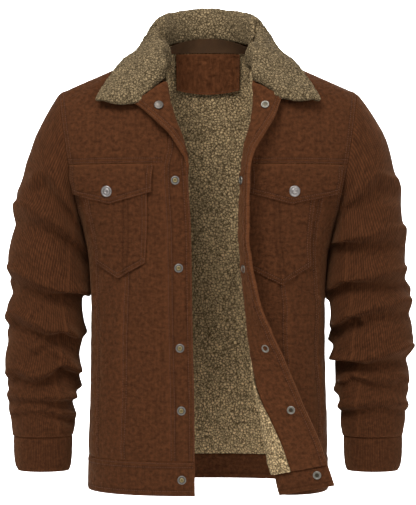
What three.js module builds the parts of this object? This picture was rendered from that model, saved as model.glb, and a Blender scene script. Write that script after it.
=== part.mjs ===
// Sherpa lined corduroy jacket, open and filled out as if worn, with nobody in it.
// Millimetres, +Z up, the front faces -Y and +X is the wearer's left.
// The origin is the middle of the wearer's shoulders, level with the neck ends of the shoulder seams.
import * as THREE from "three";

// Heights of the body, from the neck end of the shoulder seam down.
const HEM = -698;
const BAND_TOP = -646;
const INNER_BAND_FRONT = -666;
const INNER_BAND_BACK = -657;
const UNDERARM = -290;
const CHEST = -187;
// Above the chest a row is counted in hundredths of its column, from the chest up to the top edge.
const TOP = CHEST + 100;

// Plan of the body.
const SIDE_ROUNDNESS = 0.85;
const BACK_DEPTH = [
  { height: HEM, depth: 120 },
  { height: -500, depth: 114 },
  { height: UNDERARM, depth: 116 },
  { height: CHEST, depth: 120 },
];
const SIDE = [
  { height: HEM, width: 191 },
  { height: -640, width: 190 },
  { height: -545, width: 187 },
  { height: -472, width: 185 },
  { height: -400, width: 185 },
  { height: -330, width: 189 },
  { height: UNDERARM, width: 199 },
];

// Armhole: half an ellipse above the chest line and half of one below it.
const ARMHOLE_X = 218;
const ARMHOLE_HALF_DEPTH = 75;
const ARMHOLE_RISE = { x: 19, z: 117 };
const ARMHOLE_DROP = { x: 19, z: CHEST - UNDERARM };

// Neckline and shoulder seam.
const NECK_X = 78;
const NECK_BACK = { y: 80, z: 24 };
const NECK_FRONT_WAIST = new THREE.Vector3(73, -44, -32);
const NECK_SHARE_FRONT = 0.3;
const NECK_SHARE_BACK = 0.36;
const SHOULDER_BEND = 1.12;
const NECK_SLOPE_FRONT = 38;
const NECK_SLOPE_BACK = 62;

// Fronts: where the flat cloth ends, how far its edge turns outwards there, and how much cloth
// lies beyond the turn. Lift raises or drops the turned cloth for each millimetre beyond the turn.
const FRONTS = {
  right: {
    gorge: new THREE.Vector3(71, -91, -60),
    rows: [
      { height: HEM, x: 20, y: -126, radius: 6, turn: 0, flap: 0, lift: 0 },
      { height: -560, x: 21, y: -125, radius: 6, turn: 0, flap: 0, lift: 0 },
      { height: -450, x: 23.5, y: -124, radius: 6, turn: 0, flap: 0, lift: 0 },
      { height: -350, x: 25, y: -123, radius: 6, turn: 0, flap: 0, lift: 0 },
      { height: -290, x: 26, y: -122, radius: 6, turn: 0, flap: 0, lift: 0 },
      { height: -240, x: 29, y: -121, radius: 6, turn: 0, flap: 0, lift: 0 },
      { height: -212, x: 31, y: -120, radius: 6, turn: 4, flap: 0, lift: 0 },
      { height: CHEST, x: 38, y: -119, radius: 6, turn: 70, flap: 0.6, lift: 0 },
      { height: CHEST + 14, x: 45, y: -117, radius: 6, turn: 125, flap: 4, lift: -0.1 },
      { height: CHEST + 35, x: 52, y: -115, radius: 6, turn: 148, flap: 9, lift: -0.25 },
      { height: CHEST + 65, x: 62, y: -111, radius: 6, turn: 160, flap: 19, lift: -0.5 },
      { height: TOP, x: 77, y: -106, radius: 6, turn: 168, flap: 32, lift: -0.62 },
    ],
  },
  left: {
    gorge: new THREE.Vector3(77, -91, -62),
    rows: [
      { height: HEM, x: 120, y: -110, radius: 6, turn: 168, flap: 76, lift: 0.2 },
      { height: -640, x: 106, y: -110, radius: 6, turn: 168, flap: 71, lift: 0.2 },
      { height: -560, x: 92, y: -110, radius: 7, turn: 166, flap: 53, lift: 0.18 },
      { height: -500, x: 80, y: -110, radius: 8, turn: 156, flap: 45, lift: 0.14 },
      { height: -450, x: 74, y: -110, radius: 10, turn: 140, flap: 38, lift: 0.09 },
      { height: -400, x: 71, y: -110, radius: 12, turn: 122, flap: 32, lift: 0.04 },
      { height: -350, x: 67, y: -111, radius: 13, turn: 112, flap: 32, lift: 0.01 },
      { height: -300, x: 63, y: -112, radius: 13, turn: 108, flap: 33, lift: 0 },
      { height: -250, x: 63.5, y: -113, radius: 13, turn: 108, flap: 32, lift: 0 },
      { height: -215, x: 65.5, y: -114, radius: 12, turn: 108, flap: 29, lift: 0 },
      { height: CHEST, x: 65, y: -115, radius: 11, turn: 112, flap: 26, lift: 0 },
      { height: CHEST + 20, x: 69, y: -114, radius: 9, turn: 126, flap: 19, lift: -0.1 },
      { height: CHEST + 40, x: 72, y: -113, radius: 8, turn: 145, flap: 20, lift: -0.25 },
      { height: CHEST + 70, x: 77, y: -110, radius: 7, turn: 160, flap: 27, lift: -0.46 },
      { height: TOP, x: 83, y: -106, radius: 6, turn: 168, flap: 32, lift: -0.62 },
    ],
  },
};

// Layers of the cloth, as distances from the outer face, outwards positive.
const SHELL = [-2, 0];
const FACING = [-5.4, -3.4];
const SHERPA = [-9.6, -3.6];
const INNER_LOOSE = 1.6;
const WAISTBAND_OUT = 0.6;
const POCKET = [1.1, 2.7];
const FLAP = [4.1, 5.9];
const FLAP_SEWN = 3;
const TAPE = [-11.8, -10.5];
const PATCH = [-13.3, -11.9];
const SEAM = 0.15;
const LINING_SEAM = 0.7;
// Above the chest the placket and the lining end a little short of the seam, where the cloth turns over.
const PLACKET_CLEAR = 1;
const LINING_CLEAR = 2.2;
const TURN_CLEAR = 2;
const BACK_BAND_IN = -6;

// Widths on the fronts, from the free edge.
const PATCH_HALF_SHARE = 0.103;
const PATCH_FOOT = -61;
const PATCH_GAP = 0.6;
const PLACKET = 38;
const FACING_WIDTH = 57;
const PANEL_SEAMS = [
  { height: HEM, inner: 122, outer: 176 },
  { height: -350, inner: 106, outer: 164 },
  { height: CHEST, inner: 98, outer: 156 },
];

// Chest pocket and flap, from the free edge and by height.
const POCKET_SHAPE = {
  top: -214,
  inTop: 62,
  outTop: 188,
  inFoot: 68,
  outFoot: 177,
  corner: -342,
  point: -365,
};
const POCKET_SHIFT = { right: 0, left: -5 };
const FLAP_SHAPE = {
  top: CHEST - 1,
  inTop: 57,
  outTop: 195,
  inFoot: 60,
  outFoot: 192,
  corner: -231,
  point: -248,
};

// Snaps and buttons.
const SNAP_INSET = 20;
const STUD_HEIGHTS = [-213, -348, -471, -567, -673];
const SOCKET_HEIGHTS = [-214, -349, -474, -574, -678];
const LAPEL_SNAP = { across: 20, row: CHEST + 78 };
const BUTTON_HEIGHT = -229;
const SEAT_GAP = 0.35;

// Sleeves: the outer and inner edges of the front view by height, and the section's half depth and
// its place in y by the share of the way from the armhole to the cuff.
const CUFF_TOP = -614;
const CUFF_FOOT = -669;
const SLEEVE_WALL = 3;
const CUFF_GAP = 0.3;
const ARMHOLE_GAP = 0.4;
// Degrees left free at each edge of a sleeve piece, and the share of a sleeve in which it leaves the armhole.
const SLEEVE_HAIR = 0.14;
const SLEEVE_BLEND = 0.12;
const SLEEVE_EDGES = {
  right: {
    outer: [
      { height: -70, x: 237 }, { height: -96, x: 254 }, { height: -130, x: 272 }, { height: -170, x: 286 },
      { height: -195, x: 294 }, { height: -240, x: 306 }, { height: -290, x: 313 }, { height: -340, x: 318 },
      { height: -385, x: 315 }, { height: -420, x: 320 }, { height: -455, x: 318 }, { height: -500, x: 323 },
      { height: -540, x: 317 }, { height: -565, x: 319 }, { height: -590, x: 313 },
      { height: CUFF_TOP, x: 310 },
    ],
    inner: [
      { height: UNDERARM, x: 199 }, { height: -330, x: 193.5 }, { height: -390, x: 192 },
      { height: -425, x: 197 }, { height: -460, x: 196 }, { height: -490, x: 203 }, { height: -525, x: 203 },
      { height: -555, x: 208 }, { height: -590, x: 209 }, { height: CUFF_TOP, x: 214 },
    ],
  },
  left: {
    outer: [
      { height: -70, x: 237 }, { height: -96, x: 261 }, { height: -130, x: 278 }, { height: -170, x: 292 },
      { height: -195, x: 298 }, { height: -240, x: 309 }, { height: -275, x: 311 }, { height: -315, x: 317 },
      { height: -352, x: 314 }, { height: -385, x: 322 }, { height: -450, x: 325 }, { height: -500, x: 321 },
      { height: -540, x: 318 }, { height: -575, x: 316 }, { height: -600, x: 311 },
      { height: CUFF_TOP, x: 309 },
    ],
    inner: [
      { height: UNDERARM, x: 199 }, { height: -330, x: 193.5 }, { height: -390, x: 192 },
      { height: -430, x: 194 }, { height: -480, x: 196 }, { height: -520, x: 201 }, { height: -560, x: 206 },
      { height: -590, x: 209 }, { height: CUFF_TOP, x: 213 },
    ],
  },
};
const SLEEVE_SECTIONS = [
  { share: 0, half: 75, y: 0 },
  { share: 0.14, half: 80, y: -2 },
  { share: 0.35, half: 72, y: -6 },
  { share: 0.6, half: 62, y: -11 },
  { share: 0.85, half: 53, y: -17 },
  { share: 1, half: 42, y: -20 },
];
const CUFF_ROWS = [
  { height: CUFF_TOP - CUFF_GAP, outer: 309, inner: 215, half: 39, y: -20 },
  { height: -640, outer: 308.5, inner: 215.5, half: 38, y: -21 },
  { height: -658, outer: 306.5, inner: 217, half: 37, y: -21.5 },
  { height: CUFF_FOOT, outer: 302, inner: 220, half: 35, y: -22 },
];
const CUFF_WALL = 3;

// Folds of the sleeves, as troughs seen from the front: three points across the sleeve, how deep
// and how wide. Face is -1 for the front of the sleeve and 1 for its back.
const FOLDS = {
  right: [
    { face: -1, x0: 256, z0: -218, x1: 222, z1: -266, x2: 200, z2: -305, depth: 6, width: 12 },
    { face: -1, x0: 297, z0: -270, x1: 240, z1: -297, x2: 196, z2: -338, depth: 7, width: 13 },
    { face: -1, x0: 314, z0: -367, x1: 252, z1: -394, x2: 196, z2: -399, depth: 7, width: 11 },
    { face: -1, x0: 303, z0: -435, x1: 252, z1: -460, x2: 224, z2: -458, depth: 7, width: 10 },
    { face: -1, x0: 256, z0: -479, x1: 230, z1: -501, x2: 212, z2: -520, depth: 5, width: 10 },
    { face: -1, x0: 302, z0: -520, x1: 270, z1: -533, x2: 224, z2: -514, depth: 6, width: 9 },
    { face: -1, x0: 311, z0: -559, x1: 262, z1: -561, x2: 212, z2: -563, depth: 4, width: 8 },
    { face: -1, x0: 298, z0: -580, x1: 258, z1: -579, x2: 214, z2: -589, depth: 3, width: 7 },
    { face: 1, x0: 300, z0: -250, x1: 245, z1: -290, x2: 202, z2: -330, depth: 6, width: 15 },
    { face: 1, x0: 312, z0: -390, x1: 255, z1: -372, x2: 200, z2: -400, depth: 6, width: 12 },
    { face: 1, x0: 312, z0: -470, x1: 260, z1: -440, x2: 205, z2: -462, depth: 6, width: 12 },
    { face: 1, x0: 310, z0: -548, x1: 262, z1: -530, x2: 212, z2: -550, depth: 5, width: 11 },
  ],
  left: [
    { face: -1, x0: 292, z0: -228, x1: 268, z1: -222, x2: 232, z2: -250, depth: 5, width: 12 },
    { face: -1, x0: 306, z0: -308, x1: 250, z1: -316, x2: 200, z2: -320, depth: 7, width: 13 },
    { face: -1, x0: 315, z0: -368, x1: 260, z1: -376, x2: 212, z2: -381, depth: 7, width: 11 },
    { face: -1, x0: 314, z0: -416, x1: 268, z1: -424, x2: 222, z2: -434, depth: 6, width: 11 },
    { face: -1, x0: 226, z0: -436, x1: 212, z1: -444, x2: 198, z2: -452, depth: 5, width: 9 },
    { face: -1, x0: 315, z0: -488, x1: 244, z1: -505, x2: 198, z2: -502, depth: 8, width: 10 },
    { face: -1, x0: 300, z0: -532, x1: 262, z1: -538, x2: 224, z2: -530, depth: 4, width: 10 },
    { face: -1, x0: 306, z0: -573, x1: 262, z1: -569, x2: 214, z2: -577, depth: 4, width: 8 },
    { face: 1, x0: 300, z0: -250, x1: 245, z1: -290, x2: 202, z2: -330, depth: 6, width: 15 },
    { face: 1, x0: 314, z0: -400, x1: 255, z1: -378, x2: 200, z2: -404, depth: 6, width: 12 },
    { face: 1, x0: 314, z0: -478, x1: 260, z1: -450, x2: 205, z2: -474, depth: 6, width: 12 },
    { face: 1, x0: 310, z0: -556, x1: 262, z1: -536, x2: 212, z2: -556, depth: 5, width: 11 },
  ],
};

// Collar: by the share of the way from its front end to the middle of the back, how far its roll
// stands from its seam, and where its outer edge lies.
const COLLAR_THICK = 8;
const COLLAR_START = 12;
const COLLAR_MIDDLE = -4.5;
const LAPEL_MIDDLE = -2.5;
const COLLAR_RISE = 7.6;
const COLLAR = [
  { share: 0, rollX: 2, rollY: -4, rollZ: 5, edgeX: 171, edgeY: -90, edgeZ: -81 },
  { share: 0.08, rollX: 0, rollY: -4, rollZ: 10, edgeX: 170, edgeY: -77, edgeZ: -71 },
  { share: 0.15, rollX: -7, rollY: -6, rollZ: 18, edgeX: 161, edgeY: -58, edgeZ: -53 },
  { share: 0.26, rollX: -4, rollY: -5, rollZ: 30, edgeX: 145, edgeY: -30, edgeZ: -29 },
  { share: 0.38, rollX: -3, rollY: 0, rollZ: 34, edgeX: 135, edgeY: 2, edgeZ: -17 },
  { share: 0.51, rollX: -6, rollY: 8, rollZ: 36, edgeX: 131, edgeY: 34, edgeZ: -17 },
  { share: 0.72, rollX: 0, rollY: 12, rollZ: 46, edgeX: 115, edgeY: 80, edgeZ: -20 },
  { share: 0.87, rollX: 0, rollY: 13, rollZ: 48, edgeX: 76, edgeY: 114, edgeZ: -24 },
  { share: 1, rollX: 0, rollY: 13, rollZ: 49, edgeX: 0, edgeY: 128, edgeZ: -26 },
];

// Rows that every piece of the body shares, so that the layers' facets lie over each other.
const BODY_ROWS = [-698, -646, -590, -535, -485, -435, -385, -335, -290, -270, -235];
const TAPE_FOOT = CHEST + 84;
const YOKE_ROWS = [CHEST + 18, CHEST + 38, CHEST + 60, TAPE_FOOT];
const YOKE_TOP = TOP - SEAM;
const LINING_TOP = TOP - LINING_SEAM;

const MATERIALS = {
  corduroy: new THREE.MeshStandardMaterial({ color: 0x50301d, roughness: 0.92, metalness: 0 }),
  facing: new THREE.MeshStandardMaterial({ color: 0x563926, roughness: 0.92, metalness: 0 }),
  sherpa: new THREE.MeshStandardMaterial({ color: 0x7a6b50, roughness: 1, metalness: 0 }),
  tape: new THREE.MeshStandardMaterial({ color: 0x3c2b19, roughness: 0.9, metalness: 0 }),
  steel: new THREE.MeshStandardMaterial({ color: 0xb9b9b6, roughness: 0.35, metalness: 1 }),
  brass: new THREE.MeshStandardMaterial({ color: 0xb59a62, roughness: 0.4, metalness: 1 }),
};

const jacket = new THREE.Group();

// A smooth curve through a table's column that never swings past its rows.
function track(table, key, column, value) {
  const last = table.length - 1;
  const sign = table[last][key] > table[0][key] ? 1 : -1;
  const at = THREE.MathUtils.clamp(value * sign, table[0][key] * sign, table[last][key] * sign) * sign;
  let row = 0;
  while (row < last - 1 && at * sign > table[row + 1][key] * sign) row += 1;
  const slopeOf = (i) => (table[i + 1][column] - table[i][column]) / (table[i + 1][key] - table[i][key]);
  const tangent = (i) => {
    if (i === 0) return slopeOf(0);
    if (i === last) return slopeOf(last - 1);
    const before = slopeOf(i - 1);
    const after = slopeOf(i);
    return before * after <= 0 ? 0 : (2 * before * after) / (before + after);
  };
  const step = table[row + 1][key] - table[row][key];
  const t = (at - table[row][key]) / step;
  const rise = t * t * (3 - 2 * t);
  const leave = t * (1 - t) * (1 - t) * step * tangent(row);
  const arrive = t * t * (t - 1) * step * tangent(row + 1);
  return table[row][column] * (1 - rise) + table[row + 1][column] * rise + leave + arrive;
}

// Point of the armhole at an angle from its top, towards the front, the underarm and the back.
function armhole(angle) {
  const up = Math.cos(angle);
  const reach = up > 0 ? ARMHOLE_RISE : ARMHOLE_DROP;
  const x = ARMHOLE_X + reach.x * up;
  return new THREE.Vector3(x, -ARMHOLE_HALF_DEPTH * Math.sin(angle), CHEST + reach.z * up);
}

// Points of a level line from the middle (x, depth) round to the side seam or the armhole.
function levelLine(x, depth, height, steps) {
  const drop = THREE.MathUtils.clamp((height - CHEST) / ARMHOLE_DROP.z, -1, 0);
  const end = height < UNDERARM
    ? new THREE.Vector2(track(SIDE, "height", "width", height), 0)
    : new THREE.Vector2(ARMHOLE_X + ARMHOLE_DROP.x * drop, ARMHOLE_HALF_DEPTH * Math.sqrt(1 - drop * drop));
  const first = Math.asin((end.y / depth) ** (1 / SIDE_ROUNDNESS));
  const reach = (end.x - x) / Math.cos(first) ** SIDE_ROUNDNESS;
  const points = [];
  for (let step = 0; step <= steps; step += 1) {
    const angle = Math.PI / 2 + (first - Math.PI / 2) * (step / steps);
    const across = Math.max(Math.cos(angle), 0) ** SIDE_ROUNDNESS;
    points.push(new THREE.Vector3(x + reach * across, depth * Math.sin(angle) ** SIDE_ROUNDNESS, height));
  }
  return evenly(points, steps);
}

function lengths(points) {
  const sums = [0];
  for (let i = 1; i < points.length; i += 1) sums.push(sums[i - 1] + points[i].distanceTo(points[i - 1]));
  return sums;
}

function along(points, sums, length) {
  const at = THREE.MathUtils.clamp(length, 0, sums[sums.length - 1]);
  let i = 1;
  while (i < sums.length - 1 && sums[i] < at) i += 1;
  const share = (at - sums[i - 1]) / Math.max(sums[i] - sums[i - 1], 1e-9);
  return points[i - 1].clone().lerp(points[i], share);
}

function evenly(points, steps) {
  const sums = lengths(points);
  const total = sums[sums.length - 1];
  return Array.from({ length: steps + 1 }, (_, i) => along(points, sums, (total * i) / steps));
}

// A column above the chest: it rises upright from the chest line and bends back to the top edge.
function column(foot, head, slopeDegrees, power, share) {
  const full = THREE.MathUtils.degToRad(slopeDegrees);
  const angle = full * share;
  const rise = Math.sin(angle) / Math.sin(full);
  const bend = (1 - Math.cos(angle) ** power) / (1 - Math.max(Math.cos(full), 0) ** power);
  return new THREE.Vector3(
    foot.x + (head.x - foot.x) * rise,
    foot.y + (head.y - foot.y) * bend,
    foot.z + (head.z - foot.z) * rise,
  );
}

function shoulderPoint(share) {
  const neck = new THREE.Vector3(NECK_X, 0, 0);
  return neck.lerp(armhole(0), share);
}

function frontTop(side, share) {
  if (share >= NECK_SHARE_FRONT) return shoulderPoint((share - NECK_SHARE_FRONT) / (1 - NECK_SHARE_FRONT));
  const neck = new THREE.Vector3(NECK_X, 0, 0);
  const curve = new THREE.QuadraticBezierCurve3(FRONTS[side].gorge, NECK_FRONT_WAIST, neck);
  return curve.getPoint(share / NECK_SHARE_FRONT);
}

function backTop(share) {
  if (share >= NECK_SHARE_BACK) return shoulderPoint((share - NECK_SHARE_BACK) / (1 - NECK_SHARE_BACK));
  const angle = (share / NECK_SHARE_BACK) * (Math.PI / 2);
  const middle = Math.cos(angle);
  return new THREE.Vector3(NECK_X * Math.sin(angle), NECK_BACK.y * middle, NECK_BACK.z * middle);
}

function slopeAt(share, neckShare, neckSlope) {
  return neckSlope + (90 - neckSlope) * THREE.MathUtils.smoothstep(share, 0, neckShare);
}

// Above 1 the shoulder is narrower at its ridge. At the armhole the column is a plain quarter ellipse.
function bendAt(share) {
  return SHOULDER_BEND + (1 - SHOULDER_BEND) * THREE.MathUtils.smoothstep(share, 0.7, 1);
}

// One row of a front, from its free edge over the turned cloth to the side seam or the armhole.
const FINE = 30;
const rowStore = new Map();

function frontRow(side, height) {
  const name = `${side} ${height.toFixed(4)}`;
  if (rowStore.has(name)) return rowStore.get(name);
  const value = (columnName) => track(FRONTS[side].rows, "height", columnName, height);
  let body;
  if (height <= CHEST) {
    body = levelLine(value("x"), -value("y"), height, FINE).map((p) => p.setY(-p.y));
  } else {
    const share = (height - CHEST) / (TOP - CHEST);
    const feet = frontRow(side, CHEST).body;
    body = feet.map((foot, i) => {
      const place = i / FINE;
      const slope = slopeAt(place, NECK_SHARE_FRONT, NECK_SLOPE_FRONT);
      return column(foot, frontTop(side, place), slope, bendAt(place), share);
    });
  }
  const start = body[0];
  const radius = value("radius");
  // The turn begins in the direction that the flat cloth has at its end.
  const begin = Math.max(Math.atan2(body[2].y - start.y, body[2].x - start.x), 0);
  const turn = Math.max(THREE.MathUtils.degToRad(value("turn")), begin);
  const lift = value("lift");
  const onCurl = (angle) => new THREE.Vector3(
    start.x - radius * (Math.sin(angle) - Math.sin(begin)),
    start.y - radius * (Math.cos(begin) - Math.cos(angle)),
    start.z + lift * radius * (angle - begin),
  );
  const onward = new THREE.Vector3(-Math.cos(turn), -Math.sin(turn), lift);
  const points = [onCurl(turn).addScaledVector(onward, value("flap"))];
  const curlSteps = 10;
  for (let i = curlSteps; i > 0; i -= 1) points.push(onCurl(begin + ((turn - begin) * i) / curlSteps));
  points.push(...body);
  const row = { body, points, sums: lengths(points), flap: 0, curl: 0 };
  row.flap = row.sums[1];
  row.curl = row.sums[curlSteps + 1];
  rowStore.set(name, row);
  return row;
}

function backRow(height) {
  const name = `back ${height.toFixed(4)}`;
  if (rowStore.has(name)) return rowStore.get(name);
  let half;
  if (height <= CHEST) {
    half = levelLine(0, track(BACK_DEPTH, "height", "depth", height), height, FINE);
  } else {
    const share = (height - CHEST) / (TOP - CHEST);
    half = backRow(CHEST).half.map((foot, i) => {
      const place = i / FINE;
      const slope = slopeAt(place, NECK_SHARE_BACK, NECK_SLOPE_BACK);
      return column(foot, backTop(place), slope, bendAt(place), share);
    });
  }
  const mirrored = half.slice(1).map((p) => new THREE.Vector3(-p.x, p.y, p.z));
  const points = [...half.slice().reverse(), ...mirrored];
  const row = { half, points, sums: lengths(points) };
  rowStore.set(name, row);
  return row;
}

// A surface gives the frame at a distance along a row, or at a share of it, and at a row height.
// Layers are moved out from its point along its normal.
function surface(rowAt, pointOf, lengthOf, step) {
  return (place, height) => {
    const low = Math.max(place - step, 0);
    const high = Math.min(place + step, lengthOf(rowAt(height)));
    const across = pointOf(rowAt(height), high).sub(pointOf(rowAt(height), low));
    const below = rowAt(Math.max(height - 1, HEM));
    const above = rowAt(Math.min(height + 1, TOP));
    const turned = place - (rowAt(height).curl ?? place);
    const upper = above.curl === undefined ? place : turned + above.curl;
    const lower = below.curl === undefined ? place : turned + below.curl;
    const up = pointOf(above, upper).sub(pointOf(below, lower));
    const normal = across.clone().cross(up).normalize();
    const onward = normal.clone().cross(across).normalize();
    return { point: pointOf(rowAt(height), place), normal, onward };
  };
}

const lengthOfRow = (row) => row.sums[row.sums.length - 1];
const byLength = (row, s) => along(row.points, row.sums, s);
const frontFrames = {
  right: surface((height) => frontRow("right", height), byLength, lengthOfRow, 1),
  left: surface((height) => frontRow("left", height), byLength, lengthOfRow, 1),
};
const byShare = (row, share) => along(row.points, row.points.map((_, i) => i / (2 * FINE)), share);
const backFrame = surface(backRow, byShare, () => 1, 0.004);

// A closed wall from a grid of outer and inner points. Rows run one way and columns the other.
function wallGeometry(grid, closed, mirrored) {
  const rows = grid.length;
  const columns = grid[0].length;
  const positions = [];
  for (const layer of [0, 1]) {
    for (const line of grid) {
      for (const pair of line) {
        const p = pair[layer];
        positions.push(mirrored ? -p.x : p.x, p.y, p.z);
      }
    }
  }
  const outer = (i, j) => j * columns + (i % columns);
  const inner = (i, j) => rows * columns + outer(i, j);
  const indices = [];
  const quad = (a, b, c, d) => {
    if (mirrored) indices.push(a, c, b, a, d, c);
    else indices.push(a, b, c, a, c, d);
  };
  const spans = closed ? columns : columns - 1;
  for (let j = 0; j < rows - 1; j += 1) {
    for (let i = 0; i < spans; i += 1) {
      quad(outer(i, j), outer(i + 1, j), outer(i + 1, j + 1), outer(i, j + 1));
      quad(inner(i, j), inner(i, j + 1), inner(i + 1, j + 1), inner(i + 1, j));
    }
  }
  for (let i = 0; i < spans; i += 1) {
    quad(inner(i, 0), inner(i + 1, 0), outer(i + 1, 0), outer(i, 0));
    quad(outer(i, rows - 1), outer(i + 1, rows - 1), inner(i + 1, rows - 1), inner(i, rows - 1));
  }
  if (!closed) {
    for (let j = 0; j < rows - 1; j += 1) {
      quad(outer(0, j), outer(0, j + 1), inner(0, j + 1), inner(0, j));
      const last = columns - 1;
      quad(inner(last, j), inner(last, j + 1), outer(last, j + 1), outer(last, j));
    }
  }
  const geometry = new THREE.BufferGeometry();
  geometry.setAttribute("position", new THREE.Float32BufferAttribute(positions, 3));
  geometry.setIndex(indices);
  geometry.computeVertexNormals();
  return geometry;
}

function addPiece(name, geometry, material) {
  const mesh = new THREE.Mesh(geometry, MATERIALS[material].clone());
  mesh.name = name;
  jacket.add(mesh);
  return mesh;
}

// Knots kept in order inside a range, so that every row of a piece has as many points.
function squeeze(knots, from, to) {
  const least = 0.6;
  const last = knots.length - 1;
  const fitted = knots.map((knot, i) => Math.min(Math.max(knot, from + i * least), to - (last - i) * least));
  fitted[0] = from;
  fitted[last] = to;
  return fitted;
}

// Natural knots of a front's row: the turned cloth, its turn, and steps over the flat cloth.
function frontKnots(side, height, from, to, flapSteps, bodyEnds) {
  const row = frontRow(side, height);
  const knots = [from];
  for (let i = 1; i <= flapSteps; i += 1) knots.push((row.flap * i) / flapSteps);
  const curlSteps = 4;
  for (let i = 1; i <= curlSteps; i += 1) knots.push(row.flap + ((row.curl - row.flap) * i) / curlSteps);
  const total = row.sums[row.sums.length - 1];
  for (const share of bodyEnds) knots.push(row.curl + (total - row.curl) * share);
  knots.push(to);
  return squeeze(knots, from, to);
}

function frontTotal(side, height) {
  const row = frontRow(side, height);
  return row.sums[row.sums.length - 1];
}

function rowsBetween(low, high) {
  const margin = 5;
  const below = BODY_ROWS.filter((h) => h > low + margin && h < high - margin);
  const above = YOKE_ROWS.filter((h) => h > low + margin && h < high - margin);
  const chest = [CHEST - SEAM, CHEST + SEAM].filter((h) => h > low + margin && h < high - margin);
  return [low, ...below, ...chest, ...above, high];
}

// A piece of a front: rows from low to high, columns given for each row, layers by height.
function frontPiece(name, side, rows, knotsAt, layersAt, material) {
  const grid = rows.map((height) => knotsAt(height).map((s) => {
    const { point, normal } = frontFrames[side](s, height);
    const [inside, outside] = layersAt(height);
    return [point.clone().addScaledVector(normal, outside), point.addScaledVector(normal, inside)];
  }));
  return addPiece(name, wallGeometry(grid, false, side === "right"), material);
}

const BODY_SHARES = [0.1, 0.21, 0.34, 0.48, 0.64, 0.81];

// The inner layers lie a little looser where the turn is tight: in the lapels and low on the left front.
function looser(layers, side, height) {
  const lapel = THREE.MathUtils.smoothstep(height, CHEST, CHEST + 25);
  const foot = side === "left" ? 1 - THREE.MathUtils.smoothstep(height, -540, -500) : 0;
  return layers.map((level) => level - INNER_LOOSE * Math.max(lapel, foot));
}

// The placket's inner edge keeps clear of the turn, so that the yoke begins on flat cloth.
function placketEdge(side, height) {
  const wide = Math.max(PLACKET, frontRow(side, height).curl + TURN_CLEAR);
  return PLACKET + (wide - PLACKET) * THREE.MathUtils.smoothstep(height, CHEST - 48, CHEST - 1);
}

function seamAt(column, height) {
  return track(PANEL_SEAMS, "height", column, height);
}

function addFront(side) {
  const shell = () => SHELL;
  const bodyTop = CHEST - SEAM;
  const knots = (flaps, shares, from, to) => (height) => (
    frontKnots(side, height, from(height), to(height), flaps, shares)
  );
  const sideEnd = (height) => frontTotal(side, height) - SEAM;
  const liningEnd = (height) => frontTotal(side, height) - LINING_SEAM;
  const fixed = (s) => () => s;
  const panelRows = rowsBetween(BAND_TOP + SEAM, bodyTop);
  const flatKnots = (shares, from, to) => (height) => {
    const row = frontRow(side, height);
    const total = sideEnd(height);
    const middle = shares.map((share) => row.curl + (total - row.curl) * share);
    return squeeze([from(height), ...middle, to(height)], from(height), to(height));
  };
  const placket = (shift) => (height) => {
    const clear = height > CHEST && shift < 0 ? PLACKET_CLEAR : 0;
    return placketEdge(side, height) + shift - clear;
  };
  const innerSeam = (shift) => (height) => seamAt("inner", height) + shift;
  const outerSeam = (shift) => (height) => seamAt("outer", height) + shift;
  const pieces = [
    ["placket", rowsBetween(BAND_TOP + SEAM, YOKE_TOP), knots(2, [0.1], fixed(0), placket(-SEAM))],
    ["front_panel", panelRows, knots(1, [0.1, 0.21, 0.34], placket(SEAM), innerSeam(-SEAM))],
    ["front_middle", panelRows, flatKnots([0.34, 0.48, 0.64], innerSeam(SEAM), outerSeam(-SEAM))],
    ["front_side", panelRows, flatKnots([0.64, 0.81], outerSeam(SEAM), sideEnd)],
    ["front_yoke", rowsBetween(CHEST + SEAM, YOKE_TOP), knots(1, BODY_SHARES, placket(SEAM), sideEnd)],
  ];
  for (const [name, rows, at] of pieces) frontPiece(`${name}_${side}`, side, rows, at, shell, "corduroy");
  const innerRows = rowsBetween(INNER_BAND_FRONT + SEAM, LINING_TOP);
  const facingKnots = knots(2, [0.1, 0.21], fixed(0), fixed(FACING_WIDTH - SEAM));
  const facingLayers = (height) => looser(FACING, side, height);
  frontPiece(`facing_${side}`, side, innerRows, facingKnots, facingLayers, "facing");
  const liningStart = (height) => FACING_WIDTH + (height > CHEST ? LINING_CLEAR : SEAM);
  const liningKnots = knots(1, BODY_SHARES, liningStart, liningEnd);
  const liningLayers = (height) => looser(SHERPA, side, height);
  frontPiece(`lining_front_${side}`, side, innerRows, liningKnots, liningLayers, "sherpa");
  const bandRows = [HEM, INNER_BAND_FRONT - SEAM, INNER_BAND_FRONT + SEAM, BAND_TOP - SEAM];
  frontPiece(`waistband_${side}`, side, bandRows, knots(2, BODY_SHARES, fixed(0), sideEnd), (height) => {
    const thick = height < INNER_BAND_FRONT;
    return [thick ? FACING[0] : SHELL[0], WAISTBAND_OUT];
  }, "corduroy");
}

// A patch on a front with a pointed foot, lying over the panels. Its layers depend on the height.
function addPatchPocket(name, side, shape, levels, layersAt) {
  const columns = 8;
  const grid = levels.map((up) => {
    const line = [];
    for (let i = 0; i <= columns; i += 1) {
      const across = i / columns;
      const pointed = 1 - Math.abs(2 * across - 1);
      const foot = shape.corner + (shape.point - shape.corner) * pointed;
      const height = foot + (shape.top - foot) * up;
      const from = shape.inFoot + (shape.inTop - shape.inFoot) * up;
      const to = shape.outFoot + (shape.outTop - shape.outFoot) * up;
      const place = from + (to - from) * across + POCKET_SHIFT[side];
      const { point, normal } = frontFrames[side](place, height);
      const [inside, outside] = layersAt(height);
      line.push([point.clone().addScaledVector(normal, outside), point.addScaledVector(normal, inside)]);
    }
    return line;
  });
  addPiece(`${name}_${side}`, wallGeometry(grid, false, side === "right"), "corduroy");
}

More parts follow.
